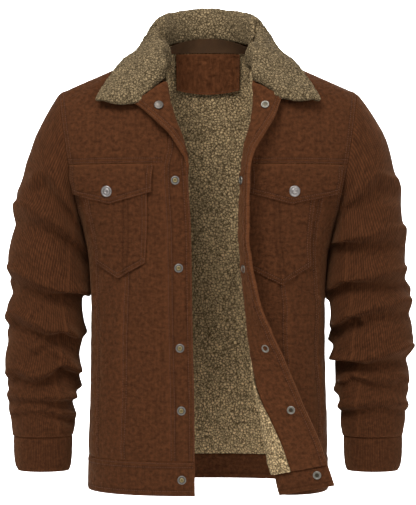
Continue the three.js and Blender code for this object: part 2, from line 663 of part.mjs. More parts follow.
function addChestPocket(side) {
  addPatchPocket("pocket", side, POCKET_SHAPE, [0, 0.25, 0.5, 0.75, 1], () => POCKET);
  // The flap is sewn flat at its top and lies over the pocket below.
  addPatchPocket("flap", side, FLAP_SHAPE, [0, 0.5, 0.72, 1], (height) => {
    const sewn = THREE.MathUtils.smoothstep(height, POCKET_SHAPE.top + 6, FLAP_SHAPE.top) * FLAP_SEWN;
    return [FLAP[0] - sewn, FLAP[1] - sewn];
  });
}

// The back: its rows run from the wearer's left side seam to the right one, by shares.
function backPiece(name, rows, shares, layersAt, material) {
  const grid = rows.map((height) => shares.map((share) => {
    const { point, normal } = backFrame(share, height);
    const [inside, outside] = layersAt(height);
    return [point.clone().addScaledVector(normal, outside), point.addScaledVector(normal, inside)];
  }));
  return addPiece(name, wallGeometry(grid, false, false), material);
}

const BACK_STEPS = 20;

function backShares(inset) {
  const shares = Array.from({ length: BACK_STEPS + 1 }, (_, i) => i / BACK_STEPS);
  shares[0] = inset;
  shares[BACK_STEPS] = 1 - inset;
  return shares;
}

// Row whose middle of the back lies at a given height above the chest line.
function backRowAt(height) {
  let low = CHEST;
  let high = TOP;
  for (let i = 0; i < 40; i += 1) {
    const middle = (low + high) / 2;
    const row = backRow(middle);
    if (row.half[0].z < height) low = middle;
    else high = middle;
  }
  return (low + high) / 2;
}

function addBack() {
  // A share of the back's row is about half a metre long.
  const length = 520;
  const shares = backShares(SEAM / length);
  backPiece("back_panel", rowsBetween(BAND_TOP + SEAM, YOKE_TOP), shares, () => SHELL, "corduroy");
  const liningShares = backShares(LINING_SEAM / length);
  const liningRows = rowsBetween(INNER_BAND_BACK + SEAM, LINING_TOP);
  backPiece("lining_back", liningRows, liningShares, () => SHERPA, "sherpa");
  const bandRows = [HEM, INNER_BAND_BACK - SEAM, INNER_BAND_BACK + SEAM, BAND_TOP - SEAM];
  backPiece("waistband_back", bandRows, shares, (height) => {
    const thick = height < INNER_BAND_BACK;
    return [thick ? BACK_BAND_IN : SHELL[0], WAISTBAND_OUT];
  }, "corduroy");
  const onLining = (low, high) => shares.filter((share) => share > low && share < high);
  const tapeEnd = (1 - NECK_SHARE_BACK) / 2 + 0.01;
  const tapeShares = [tapeEnd, ...onLining(tapeEnd + 0.01, 0.99 - tapeEnd), 1 - tapeEnd];
  backPiece("neck_tape", [TAPE_FOOT, YOKE_TOP], tapeShares, () => TAPE, "tape");
  const patchTop = TAPE_FOOT - PATCH_GAP;
  const patchFoot = backRowAt(PATCH_FOOT);
  const patchRows = [patchFoot, ...YOKE_ROWS.filter((h) => h > patchFoot + 2 && h < patchTop - 2), patchTop];
  const patchEnd = 0.5 - PATCH_HALF_SHARE;
  const patchShares = [patchEnd, ...onLining(patchEnd + 0.01, 0.99 - patchEnd), 1 - patchEnd];
  backPiece("neck_patch", patchRows, patchShares, () => PATCH, "corduroy");
}

// How far the folds push a point of a sleeve in, by its distance from each trough.
function foldDepth(side, x, z, facing) {
  let depth = 0;
  for (const fold of FOLDS[side]) {
    const a = new THREE.Vector2(fold.x0, fold.z0);
    const b = new THREE.Vector2(fold.x1, fold.z1);
    const c = new THREE.Vector2(fold.x2, fold.z2);
    const near = Math.min(distanceTo(x, z, a, b), distanceTo(x, z, b, c));
    const seen = THREE.MathUtils.smoothstep(facing * fold.face, -0.1, 0.5);
    const across = near / fold.width;
    depth += seen * fold.depth * (Math.exp(-across * across) - 0.35 * Math.exp(-((across - 1.9) ** 2)));
  }
  return depth;
}

function distanceTo(x, z, a, b) {
  const span = b.clone().sub(a);
  const share = ((x - a.x) * span.x + (z - a.y) * span.y) / span.lengthSq();
  const at = a.clone().addScaledVector(span, THREE.MathUtils.clamp(share, 0, 1));
  return Math.hypot(x - at.x, z - at.y);
}

// A point of a sleeve's wall: share runs from the armhole to the cuff, the angle runs from the
// outer edge by the front to the inner edge and the back.
function sleevePair(side, share, angle) {
  const edges = SLEEVE_EDGES[side];
  const top = armhole(0);
  const foot = armhole(Math.PI);
  const outZ = top.z + (CUFF_TOP - top.z) * share;
  const inZ = foot.z + (CUFF_TOP - foot.z) * share;
  const y = track(SLEEVE_SECTIONS, "share", "y", share);
  const half = track(SLEEVE_SECTIONS, "share", "half", share);
  const outside = new THREE.Vector3(track(edges.outer, "height", "x", outZ), y, outZ);
  const inside = new THREE.Vector3(track(edges.inner, "height", "x", inZ), y, inZ);
  const middle = outside.clone().add(inside).multiplyScalar(0.5);
  const reach = outside.sub(inside).multiplyScalar(0.5);
  const ring = middle.clone().addScaledVector(reach, Math.cos(angle));
  ring.y -= half * Math.sin(angle);
  const keep = 1 - THREE.MathUtils.smoothstep(share, 0, SLEEVE_BLEND);
  const point = ring.lerp(armhole(angle), keep);
  const centre = middle.lerp(top.clone().add(foot).multiplyScalar(0.5), keep);
  const spoke = point.clone().sub(centre);
  const length = spoke.length();
  const leaving = THREE.MathUtils.smoothstep(share, 0.01, SLEEVE_BLEND);
  const away = leaving * (1 - THREE.MathUtils.smoothstep(share, 0.93, 1));
  const facing = -Math.sin(angle);
  const depth = away * foldDepth(side, point.x, point.z, facing);
  const outer = centre.clone().addScaledVector(spoke, 1 - depth / length);
  const innerPoint = centre.clone().addScaledVector(spoke, 1 - (depth + SLEEVE_WALL) / length);
  for (const p of [outer, innerPoint]) p.x += ARMHOLE_GAP;
  return [outer, innerPoint];
}

const SLEEVE_SHARES = [0, 0.05, 0.12, 0.2, 0.28, 0.36, 0.43, 0.5, 0.57, 0.64, 0.71, 0.78, 0.85, 0.92, 1];
const UNDERSLEEVE = { from: 122, to: 238 };

function sleevePiece(name, side, from, to, steps) {
  const grid = SLEEVE_SHARES.map((share) => {
    const line = [];
    for (let i = 0; i <= steps; i += 1) {
      const degrees = from + SLEEVE_HAIR + ((to - from - 2 * SLEEVE_HAIR) * i) / steps;
      line.push(sleevePair(side, share, THREE.MathUtils.degToRad(degrees)));
    }
    return line;
  });
  addPiece(`${name}_${side}`, wallGeometry(grid, false, side === "right"), "corduroy");
}

function addSleeve(side) {
  sleevePiece("sleeve_top", side, UNDERSLEEVE.to - 360, UNDERSLEEVE.from, 13);
  sleevePiece("sleeve_under", side, UNDERSLEEVE.from, UNDERSLEEVE.to, 6);
  const grid = CUFF_ROWS.map((row) => {
    const line = [];
    const steps = 20;
    for (let i = 0; i < steps; i += 1) {
      const angle = (i / steps) * 2 * Math.PI;
      const centre = new THREE.Vector3((row.outer + row.inner) / 2, row.y, row.height);
      const wide = (row.outer - row.inner) / 2;
      const spoke = new THREE.Vector3(wide * Math.cos(angle), -row.half * Math.sin(angle), 0);
      const inner = spoke.clone().multiplyScalar(1 - CUFF_WALL / spoke.length());
      line.push([centre.clone().add(spoke), centre.clone().add(inner)]);
    }
    return line;
  });
  addPiece(`cuff_${side}`, wallGeometry(grid, true, side === "right"), "corduroy");
}

// Frames along the neck seam of one half, from the collar's front end to the middle of the back.
function neckSeam(side) {
  const frames = [];
  const row = frontRow(side, TOP);
  const neckEnd = row.curl + lengths(row.body.slice(0, FINE * NECK_SHARE_FRONT + 1)).pop();
  const knots = [];
  for (const share of [0, 0.5, 1]) knots.push(COLLAR_START + (row.flap - COLLAR_START) * share);
  for (const share of [0.25, 0.5, 0.75, 1]) knots.push(row.flap + (row.curl - row.flap) * share);
  for (let i = 1; i <= 6; i += 1) knots.push(row.curl + ((neckEnd - row.curl) * i) / 6);
  for (const s of knots) {
    const middle = LAPEL_MIDDLE + (COLLAR_MIDDLE - LAPEL_MIDDLE) * (s / neckEnd);
    frames.push({ ...frontFrames[side](s, TOP), middle });
  }
  for (let i = 1; i <= 6; i += 1) {
    const share = 0.5 - (NECK_SHARE_BACK / 2) * (1 - i / 6);
    frames.push({ ...backFrame(share, TOP), middle: COLLAR_MIDDLE });
  }
  return frames;
}

// A section of the collar: up from the seam to the roll, and over it to the outer edge.
function collarSection(frame, share) {
  const value = (columnName) => track(COLLAR, "share", columnName, share);
  const seam = frame.point.clone().addScaledVector(frame.normal, frame.middle);
  seam.addScaledVector(frame.onward, COLLAR_RISE);
  const roll = seam.clone().add(new THREE.Vector3(value("rollX"), value("rollY"), value("rollZ")));
  const edge = new THREE.Vector3(value("edgeX"), value("edgeY"), value("edgeZ"));
  const out = edge.clone().sub(seam).setZ(0).normalize();
  const stand = roll.distanceTo(seam);
  const fall = edge.distanceTo(roll);
  const upward = frame.onward.clone().add(new THREE.Vector3(0, 0, 1.2)).normalize();
  const upEnd = seam.clone().addScaledVector(upward, stand * 0.55);
  const overStart = roll.clone().addScaledVector(out, -Math.min(stand * 0.25, 9));
  const overEnd = roll.clone().addScaledVector(out, fall * 0.33);
  const drop = edge.clone().sub(roll).normalize();
  const edgeStart = edge.clone().addScaledVector(drop, -fall * 0.3).add(out.clone().multiplyScalar(4));
  const up = new THREE.CubicBezierCurve3(seam, upEnd, overStart, roll);
  const over = new THREE.CubicBezierCurve3(roll, overEnd, edgeStart, edge);
  return [...up.getPoints(3), ...over.getPoints(6).slice(1)];
}

function addCollar() {
  const half = (side) => {
    const frames = neckSeam(side);
    const sums = lengths(frames.map((frame) => frame.point));
    const total = sums[sums.length - 1];
    return frames.map((frame, i) => collarSection(frame, sums[i] / total));
  };
  const flip = (p) => new THREE.Vector3(-p.x, p.y, p.z);
  const left = half("left");
  const right = half("right").map((section) => section.map(flip));
  const sections = [...left, ...right.reverse().slice(1)];
  const count = sections.length;
  const steps = sections[0].length;
  const grid = [];
  for (let j = 0; j < steps; j += 1) {
    const line = [];
    for (let i = 0; i < count; i += 1) {
      const across = sections[Math.min(i + 1, count - 1)][j].clone().sub(sections[Math.max(i - 1, 0)][j]);
      const up = sections[i][Math.min(j + 1, steps - 1)].clone().sub(sections[i][Math.max(j - 1, 0)]);
      const normal = across.cross(up).normalize();
      const point = sections[i][j];
      const reach = (COLLAR_THICK / 2) * (j === 0 ? 0.55 : 1);
      line.push([point.clone().addScaledVector(normal, reach), point.clone().addScaledVector(normal, -reach)]);
    }
    grid.push(line);
  }
  addPiece("collar", wallGeometry(grid, false, false), "sherpa");
}

// Round metal parts, as profiles of radius and height turned about their axis.
const PROFILES = {
  stud: [[0, 0], [6.8, 0], [6.8, 1.1], [3.2, 1.3], [3.2, 3.2], [0, 3.2]],
  socket: [[0, 0], [6.4, 0], [6.4, 1.8], [3, 1.8], [3, 0.9], [0, 0.9]],
  cap: [[0, 0], [7.4, 0], [7, 1.4], [0, 2]],
  button: [[0, 0], [3.4, 0], [3.4, 1.4], [8.8, 1.6], [8.8, 3], [7, 4.4], [0, 5]],
};

// How far out along an axis a round piece sits, so that its foot just clears the carrier's facets.
function seatHeight(carrier, point, axis, radius) {
  const away = 5;
  const rays = 12;
  const flat = new THREE.Vector3(0, 0, 1).cross(axis).normalize();
  const caster = new THREE.Raycaster();
  carrier.updateMatrixWorld(true);
  let least = Infinity;
  for (let i = 0; i <= rays; i += 1) {
    const reach = i === rays ? 0 : radius;
    const spoke = flat.clone().applyAxisAngle(axis, (i / rays) * 2 * Math.PI);
    const from = point.clone().addScaledVector(axis, away).addScaledVector(spoke, reach);
    caster.set(from, axis.clone().negate());
    const hit = caster.intersectObject(carrier)[0];
    if (hit) least = Math.min(least, hit.distance);
  }
  return away - least + SEAT_GAP;
}

// Face is 1 on the outer side of the cloth and -1 on its inner side.
function addRound(name, kind, material, side, across, height, face, carrierName) {
  const profile = PROFILES[kind].map(([radius, rise]) => new THREE.Vector2(radius, rise));
  const mesh = addPiece(name, new THREE.LatheGeometry(profile, 10), material);
  const { point, normal } = frontFrames[side](across, height);
  const axis = normal.clone().multiplyScalar(face);
  const cloth = face > 0 ? SHELL[1] : -FACING[0];
  const place = point.addScaledVector(axis, kind === "button" ? FLAP[1] : cloth);
  if (side === "right") {
    axis.x *= -1;
    place.x *= -1;
  }
  const carrier = jacket.getObjectByName(carrierName);
  const seat = seatHeight(carrier, place, axis, PROFILES[kind][1][0]);
  mesh.position.copy(place).addScaledVector(axis, seat);
  mesh.quaternion.setFromUnitVectors(new THREE.Vector3(0, 1, 0), axis);
}

function addFastenings() {
  STUD_HEIGHTS.forEach((height, i) => {
    const carrier = height < BAND_TOP ? "waistband_right" : "placket_right";
    addRound(`stud_${i + 2}`, "stud", "brass", "right", SNAP_INSET, height, 1, carrier);
  });
  SOCKET_HEIGHTS.forEach((height, i) => {
    const inner = height < INNER_BAND_FRONT ? "waistband_left" : "facing_left";
    const outer = height < BAND_TOP ? "waistband_left" : "placket_left";
    addRound(`socket_${i + 2}`, "socket", "steel", "left", SNAP_INSET, height, -1, inner);
    addRound(`cap_${i + 2}`, "cap", "steel", "left", SNAP_INSET, height, 1, outer);
  });
  const { across, row } = LAPEL_SNAP;
  addRound("stud_back_1", "cap", "steel", "right", across, row, -1, "facing_right");
  addRound("stud_1", "stud", "brass", "right", across, row, 1, "placket_right");
  addRound("socket_1", "socket", "steel", "left", across, row, -1, "facing_left");
  addRound("cap_1", "cap", "steel", "left", across, row, 1, "placket_left");
  for (const side of ["right", "left"]) {
    const middle = (FLAP_SHAPE.inTop + FLAP_SHAPE.outTop) / 2 + POCKET_SHIFT[side];
    addRound(`button_${side}`, "button", "steel", side, middle, BUTTON_HEIGHT, 1, `flap_${side}`);
  }
}

for (const side of ["right", "left"]) {
  addFront(side);
  addChestPocket(side);
  addSleeve(side);
}
addBack();
addCollar();
addFastenings();

export default jacket;
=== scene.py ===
# Sherpa lined corduroy jacket, open and filled out as if worn: the finished pieces over the frame.
# Sizes are in millimetres until a mesh is made. +Z is up, the front faces -Y, +X is the wearer's left.
import math

import bpy
import numpy as np
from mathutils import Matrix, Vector


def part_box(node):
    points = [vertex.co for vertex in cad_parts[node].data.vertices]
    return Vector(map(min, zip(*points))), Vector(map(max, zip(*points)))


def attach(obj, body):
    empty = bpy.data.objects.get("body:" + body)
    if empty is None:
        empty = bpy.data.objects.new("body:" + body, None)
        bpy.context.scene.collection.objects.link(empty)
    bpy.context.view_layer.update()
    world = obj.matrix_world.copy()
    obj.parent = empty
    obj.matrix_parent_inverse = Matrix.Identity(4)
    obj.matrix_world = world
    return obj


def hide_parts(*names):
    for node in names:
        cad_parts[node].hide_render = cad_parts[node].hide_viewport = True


bl_info = {
    "name": "Sherpa lined jacket",
    "version": (1, 0, 0),
    "blender": (4, 5, 0),
    "location": "3D View > Sidebar > Jacket",
    "description": "Corduroy panels, pile lining and collar, stitching, snaps and studio of one jacket",
    "category": "Object",
}

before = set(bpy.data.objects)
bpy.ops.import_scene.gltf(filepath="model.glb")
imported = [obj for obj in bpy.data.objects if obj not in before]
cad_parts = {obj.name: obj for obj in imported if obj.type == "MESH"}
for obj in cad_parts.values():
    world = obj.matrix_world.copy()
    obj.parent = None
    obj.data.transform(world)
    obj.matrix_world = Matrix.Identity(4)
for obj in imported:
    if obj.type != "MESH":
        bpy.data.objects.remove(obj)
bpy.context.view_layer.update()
MM = 0.001
SIDES = ("right", "left")

# Heights of the body, from the neck end of the shoulder seam down.
HEM = -698
BAND_TOP = -646
INNER_BAND_FRONT = -666
INNER_BAND_BACK = -657
UNDERARM = -290
CHEST = -187
# Above the chest a row is counted in hundredths of its column, from the chest up to the top edge.
TOP = CHEST + 100
TAPE_FOOT = CHEST + 88


def table(columns, *rows):
    """A short table as a dictionary of named columns."""
    return {name: np.array(values, float) for name, values in zip(columns.split(), zip(*rows))}


# Plan of the body, the armhole, the neckline and the shoulder seam.
SIDE_ROUNDNESS = 0.85
BACK_DEPTH = table("height depth", (HEM, 120), (-500, 114), (UNDERARM, 116), (CHEST, 120))
SIDE = table(
    "height width",
    (HEM, 191), (-640, 190), (-545, 187), (-472, 185), (-400, 185), (-330, 189), (UNDERARM, 199),
)
ARMHOLE_X = 218
ARMHOLE_HALF_DEPTH = 75
ARMHOLE_RISE = (19, 117)
ARMHOLE_DROP = (19, CHEST - UNDERARM)
NECK_X = 78
NECK_BACK = (80, 24)
NECK_FRONT_WAIST = np.array((73, -44, -32.0))
NECK_SHARE_FRONT = 0.3
NECK_SHARE_BACK = 0.36
SHOULDER_BEND = 1.12
NECK_SLOPE_FRONT = 38
NECK_SLOPE_BACK = 62

# Fronts: where the flat cloth ends, how far its edge turns outwards, and the cloth beyond the turn.
FRONT_COLUMNS = "height x y radius turn flap lift"
GORGE = {"right": np.array((71, -91, -60.0)), "left": np.array((77, -91, -62.0))}
FRONTS = {
    "right": table(
        FRONT_COLUMNS,
        (HEM, 20, -126, 6, 0, 0, 0),
        (-560, 21, -125, 6, 0, 0, 0),
        (-450, 23.5, -124, 6, 0, 0, 0),
        (-350, 25, -123, 6, 0, 0, 0),
        (-290, 26, -122, 6, 0, 0, 0),
        (-240, 29, -121, 6, 0, 0, 0),
        (-212, 31, -120, 6, 4, 0, 0),
        (CHEST, 38, -119, 6, 70, 0.6, 0),
        (CHEST + 14, 45, -117, 6, 125, 4, -0.1),
        (CHEST + 35, 52, -115, 6, 148, 9, -0.25),
        (CHEST + 65, 62, -111, 6, 160, 21, -0.58),
        (TOP, 77, -106, 6, 168, 37, -0.78),
    ),
    "left": table(
        FRONT_COLUMNS,
        (HEM, 120, -110, 6, 168, 76, 0.2),
        (-640, 106, -110, 6, 168, 71, 0.2),
        (-560, 92, -110, 7, 166, 53, 0.18),
        (-500, 80, -110, 8, 156, 45, 0.14),
        (-450, 74, -110, 10, 140, 38, 0.09),
        (-400, 71, -110, 12, 122, 32, 0.04),
        (-350, 67, -111, 13, 112, 32, 0.01),
        (-300, 63, -112, 13, 108, 33, 0),
        (-250, 63.5, -113, 13, 108, 32, 0),
        (-215, 65.5, -114, 12, 108, 29, 0),
        (CHEST, 65, -115, 11, 112, 26, 0),
        (CHEST + 20, 69, -114, 9, 126, 19, -0.1),
        (CHEST + 40, 72, -113, 8, 145, 20, -0.25),
        (CHEST + 70, 77, -110, 7, 160, 27, -0.46),
        (TOP, 83, -106, 6, 168, 32, -0.62),
    ),
}

# Layers of the cloth, as distances from the outer face, outwards positive.
SHELL = (-2, 0)
FACING = (-5.4, -3.4)
SHERPA = (-7.4, -3.8)
INNER_LOOSE = 1.6
WAISTBAND_OUT = 0.6
POCKET = (1.1, 2.7)
FLAP = (4.1, 5.9)
FLAP_SEWN = 3
TAPE = (-11.8, -10.5)
TAPE_RISE = 8
PATCH = (-13.3, -11.9)
SEAM = 0.15
LINING_SEAM = 0.7
BACK_BAND_IN = -6

# Widths on the fronts from the free edge, the pockets and the fastenings.
PLACKET = 38
FACING_WIDTH = 57
PANEL_SEAMS = table("height inner outer", (HEM, 122, 176), (-350, 106, 170), (CHEST, 98, 178))
PATCH_COLUMNS = ("top", "in_top", "in_foot", "out_top", "out_foot", "corner", "point")
POCKET_SHAPE = {
    "right": dict(zip(PATCH_COLUMNS, (-214, 63, 70, 168, 163, -340, -364))),
    "left": dict(zip(PATCH_COLUMNS, (-214, 43, 47, 160, 154, -345, -374))),
}
FLAP_SHAPE = {
    "right": dict(zip(PATCH_COLUMNS, (CHEST - 1, 54, 57, 192, 189, -231, -248))),
    "left": dict(zip(PATCH_COLUMNS, (CHEST - 1, 44, 47, 197, 195, -231, -249))),
}
PATCH_HALF_SHARE = 0.103
PATCH_FOOT = -61
SNAP_INSET = 20
# The cloth lies flat up to the first distance from a stud and rises freely from the second.
STUD_FLAT = (8, 24)
SNAP_CLEAR = 0.2
STUD_HEIGHTS = (-213, -348, -471, -567, -673)
SOCKET_HEIGHTS = (-214, -349, -474, -574, -678)
LAPEL_SNAP = (20, CHEST + 75)
BUTTON_HEIGHT = -229

# Sleeves: outer and inner edges of the front view, the section along the arm, the cuff and the folds.
CUFF_TOP = -614
CUFF_FOOT = -669
SLEEVE_WALL = 2.4
SLEEVE_OUTER = {
    "right": table(
        "height x",
        (-70, 237), (-96, 254), (-130, 272), (-170, 286), (-195, 294), (-240, 306), (-290, 313),
        (-340, 318), (-385, 315), (-420, 320), (-455, 318), (-500, 323), (-540, 317), (-565, 319),
        (-590, 313), (CUFF_TOP, 310),
    ),
    "left": table(
        "height x",
        (-70, 237), (-96, 261), (-130, 278), (-170, 292), (-195, 298), (-240, 309), (-275, 311),
        (-315, 317), (-352, 314), (-385, 322), (-450, 325), (-500, 321), (-540, 318), (-575, 316),
        (-600, 311), (CUFF_TOP, 309),
    ),
}
SLEEVE_INNER = {
    "right": table(
        "height x",
        (UNDERARM, 199), (-330, 189.6), (-372, 186.6), (-392, 189), (-425, 197), (-460, 196), (-490, 203),
        (-525, 203), (-555, 208), (-590, 209), (CUFF_TOP, 214),
    ),
    "left": table(
        "height x",
        (UNDERARM, 199), (-330, 189.6), (-375, 186.4), (-395, 189), (-430, 194), (-480, 196), (-520, 201),
        (-560, 206), (-590, 209), (CUFF_TOP, 213),
    ),
}
SLEEVE_SECTIONS = table(
    "share half y",
    (0, 75, 0), (0.14, 80, -2), (0.35, 72, -6), (0.6, 62, -11), (0.85, 53, -17), (1, 42, -20),
)
CUFF_GAP = 0.3
CUFF_ROWS = table(
    "height outer inner half y",
    (CUFF_TOP - CUFF_GAP, 309, 215, 39, -20),
    (-640, 308.5, 215.5, 38, -21),
    (-658, 306.5, 217, 37, -21.5),
    (CUFF_FOOT, 302, 220, 35, -22),
)
# The under sleeve lies between these two angles, counted in degrees from the outer edge by the front.
UNDERSLEEVE = (122, 238)
SLEEVE_RADIUS = 55
# Depth of the small drawn wrinkles between the folds.
WRINKLE = 5
CUFF_SEAM = 190
FOLD_COLUMNS = "face x0 z0 x1 z1 x2 z2 depth width"
FOLDS = {
    "right": table(
        FOLD_COLUMNS,
        (-1, 256, -218, 222, -266, 200, -305, 6, 12),
        (-1, 297, -270, 240, -297, 196, -338, 7, 13),
        (-1, 314, -367, 252, -394, 196, -399, 7, 11),
        (-1, 303, -435, 252, -460, 224, -458, 7, 10),
        (-1, 256, -479, 230, -501, 212, -520, 5, 10),
        (-1, 302, -520, 270, -533, 224, -514, 6, 9),
        (-1, 311, -559, 262, -561, 212, -563, 4, 8),
        (-1, 298, -580, 258, -579, 214, -589, 3, 7),
        (1, 300, -250, 245, -290, 202, -330, 6, 15),
        (1, 312, -390, 255, -372, 200, -400, 6, 12),
        (1, 312, -470, 260, -440, 205, -462, 6, 12),
        (1, 310, -548, 262, -530, 212, -550, 5, 11),
    ),
    "left": table(
        FOLD_COLUMNS,
        (-1, 292, -228, 268, -222, 232, -250, 5, 12),
        (-1, 306, -308, 250, -316, 200, -320, 7, 13),
        (-1, 315, -368, 260, -376, 212, -381, 7, 11),
        (-1, 314, -416, 268, -424, 222, -434, 6, 11),
        (-1, 226, -436, 212, -444, 198, -452, 5, 9),
        (-1, 315, -488, 244, -505, 198, -502, 8, 10),
        (-1, 300, -532, 262, -538, 224, -530, 4, 10),
        (-1, 306, -573, 262, -569, 214, -577, 4, 8),
        (1, 300, -250, 245, -290, 202, -330, 6, 15),
        (1, 314, -400, 255, -378, 200, -404, 6, 12),
        (1, 314, -478, 260, -450, 205, -474, 6, 12),
        (1, 310, -556, 262, -536, 212, -556, 5, 11),
    ),
}

# Collar: how far its roll stands from its seam, and where its outer edge lies.
COLLAR_THICK = 5.5
COLLAR_START = 12
COLLAR_MIDDLE = -4.5
LAPEL_MIDDLE = -2.5
COLLAR_RISE = 7.6
COLLAR_RISE_BACK = 3.5
COLLAR_END = 9
COLLAR_RISE_FRONT = 2.5
COLLAR = table(
    "share roll_x roll_y roll_z edge_x edge_y edge_z",
    (0, 2, -4, 5, 174, -92, -87),
    (0.08, 0, -4, 10, 170, -79, -77),
    (0.15, 0, -6, 18, 157, -59, -54),
    (0.26, 4, -5, 30, 141, -30, -29),
    (0.38, 6, 0, 36, 132, 2, -17),
    (0.51, 4, 8, 40, 127, 34, -19),
    (0.72, 3, 12, 48, 109, 80, -22),
    (0.87, 0, 13, 48, 76, 114, -24),
    (1, 0, 13, 49, 0, 128, -26),
)

# Two lines of stitches run beside a sewn edge, at these distances from it. The neck patch has one line.
INSETS = (2.0, 8.0)
PATCH_INSETS = (3.0,)

# Rough sizes of the pieces, from which their grids get their numbers of points.
BACK_WIDTH = 520
TAPE_WIDTH = 190
PATCH_SIZE = (104, 64)
POCKET_SIZE = (122, 140)
FLAP_SIZE = (136, 52)
SLEEVE_LENGTH = 545
SLEEVE_TOP_WIDTH = 300
SLEEVE_UNDER_WIDTH = 130
CUFF_SIZE = (240, 55)
LINING_PITCH = 2.95
COLLAR_GRID = (88, 400)

# Rows of the yoke stand further apart than their hundredths, by this factor.
YOKE_STRETCH = 1.9
FINE = 90
CURL_STEPS = 16
# The paler edge of a piece fades over this distance: partly worn cloth, partly a painted highlight.
WEAR_AND_HIGHLIGHT_REACH = 2.2
# Rows that were worked out once are kept here.
STORE = {}


def ease(value, low, high):
    """0 below low, 1 above high and a smooth step between them."""
    t = np.clip((np.asarray(value, float) - low) / (high - low), 0, 1)
    return t * t * (3 - 2 * t)


def track(sheet, key, column, value):
    """A smooth curve through a table's column that never swings past its rows."""
    x, y = sheet[key], sheet[column]
    if x[0] > x[-1]:
        x, y = x[::-1], y[::-1]
    at = np.clip(np.asarray(value, float), x[0], x[-1])
    slopes = np.diff(y) / np.diff(x)
    before, after = slopes[:-1], slopes[1:]
    same = before * after > 0
    middle = np.where(same, 2 * before * after / np.where(same, before + after, 1), 0)
    tangents = np.concatenate([slopes[:1], middle, slopes[-1:]])
    i = np.clip(np.searchsorted(x, at, side="right") - 1, 0, len(x) - 2)
    step = x[i + 1] - x[i]
    t = (at - x[i]) / step
    rise = t * t * (3 - 2 * t)
    leave = t * (1 - t) ** 2 * step * tangents[i]
    arrive = t * t * (t - 1) * step * tangents[i + 1]
    return y[i] * (1 - rise) + y[i + 1] * rise + leave + arrive


def unit(vectors):
    """The same directions with length 1."""
    return vectors / np.maximum(np.linalg.norm(vectors, axis=-1, keepdims=True), 1e-9)


def lengths(points):
    """Distance of each point from the first one, along their line."""
    return np.concatenate([[0], np.cumsum(np.linalg.norm(np.diff(points, axis=0), axis=1))])


def along(points, sums, at):
    """Points at some distances along a line of points."""
    return np.stack([np.interp(at, sums, points[:, k]) for k in range(3)], axis=-1)


def armhole(angle):
    """Point of the armhole at an angle from its top, by the front, the underarm and the back."""
    up = np.cos(angle)
    across = np.where(up > 0, ARMHOLE_RISE[0], ARMHOLE_DROP[0])
    tall = np.where(up > 0, ARMHOLE_RISE[1], ARMHOLE_DROP[1])
    forward = -ARMHOLE_HALF_DEPTH * np.sin(angle)
    return np.stack([ARMHOLE_X + across * up, forward, CHEST + tall * up], axis=-1)


def level_line(x, depth, height):
    """Points of a level line from the middle (x, depth) round to the side seam or the armhole."""
    if height < UNDERARM:
        end_x, end_y = track(SIDE, "height", "width", height), 0
    else:
        drop = min(max((height - CHEST) / ARMHOLE_DROP[1], -1), 0)
        end_x = ARMHOLE_X + ARMHOLE_DROP[0] * drop
        end_y = ARMHOLE_HALF_DEPTH * math.sqrt(max(1 - drop * drop, 0))
    first = math.asin((end_y / depth) ** (1 / SIDE_ROUNDNESS))
    reach = (end_x - x) / math.cos(first) ** SIDE_ROUNDNESS
    angle = np.linspace(math.pi / 2, first, FINE + 1)
    across = np.maximum(np.cos(angle), 0) ** SIDE_ROUNDNESS
    deep = depth * np.sin(angle) ** SIDE_ROUNDNESS
    points = np.stack([x + reach * across, deep, np.full(FINE + 1, height)], axis=-1)
    sums = lengths(points)
    return along(points, sums, np.linspace(0, sums[-1], FINE + 1))


def column(feet, heads, slope_degrees, power, share):
    """Columns above the chest: upright at the chest line and bent back to the top edge."""
    full = np.radians(slope_degrees)
    angle = full * share
    rise = np.sin(angle) / np.sin(full)
    bend = (1 - np.cos(angle) ** power) / (1 - np.maximum(np.cos(full), 0) ** power)
    mix = np.stack([rise, bend, rise], axis=-1)
    return feet + (heads - feet) * mix


def shoulder_points(share):
    """Points of the shoulder seam from the neck to the top of the armhole."""
    neck = np.array((NECK_X, 0, 0.0))
    return neck + (armhole(np.array(0.0)) - neck) * share[:, None]


def front_heads(side, place):
    """The top edge of a front: its neckline up to NECK_SHARE_FRONT, then the shoulder seam."""
    t = np.clip(place / NECK_SHARE_FRONT, 0, 1)[:, None]
    neck = np.array((NECK_X, 0, 0.0))
    curve = (1 - t) ** 2 * GORGE[side] + 2 * t * (1 - t) * NECK_FRONT_WAIST + t * t * neck
    shoulder = shoulder_points(np.clip((place - NECK_SHARE_FRONT) / (1 - NECK_SHARE_FRONT), 0, 1))
    return np.where(place[:, None] >= NECK_SHARE_FRONT, shoulder, curve)


def back_heads(place):
    """The top edge of half the back: its neckline up to NECK_SHARE_BACK, then the shoulder seam."""
    angle = np.clip(place / NECK_SHARE_BACK, 0, 1) * math.pi / 2
    curve = np.stack([NECK_X * np.sin(angle), NECK_BACK[0] * np.cos(angle), NECK_BACK[1] * np.cos(angle)], -1)
    shoulder = shoulder_points(np.clip((place - NECK_SHARE_BACK) / (1 - NECK_SHARE_BACK), 0, 1))
    return np.where(place[:, None] >= NECK_SHARE_BACK, shoulder, curve)


def upper_row(feet, heads, neck_share, neck_slope, height):
    """A row above the chest, between the chest line and the top edge."""
    place = np.linspace(0, 1, FINE + 1)
    slope = neck_slope + (90 - neck_slope) * ease(place, 0, neck_share)
    power = SHOULDER_BEND + (1 - SHOULDER_BEND) * ease(place, 0.7, 1)
    return column(feet, heads(place), slope, power, (height - CHEST) / (TOP - CHEST))


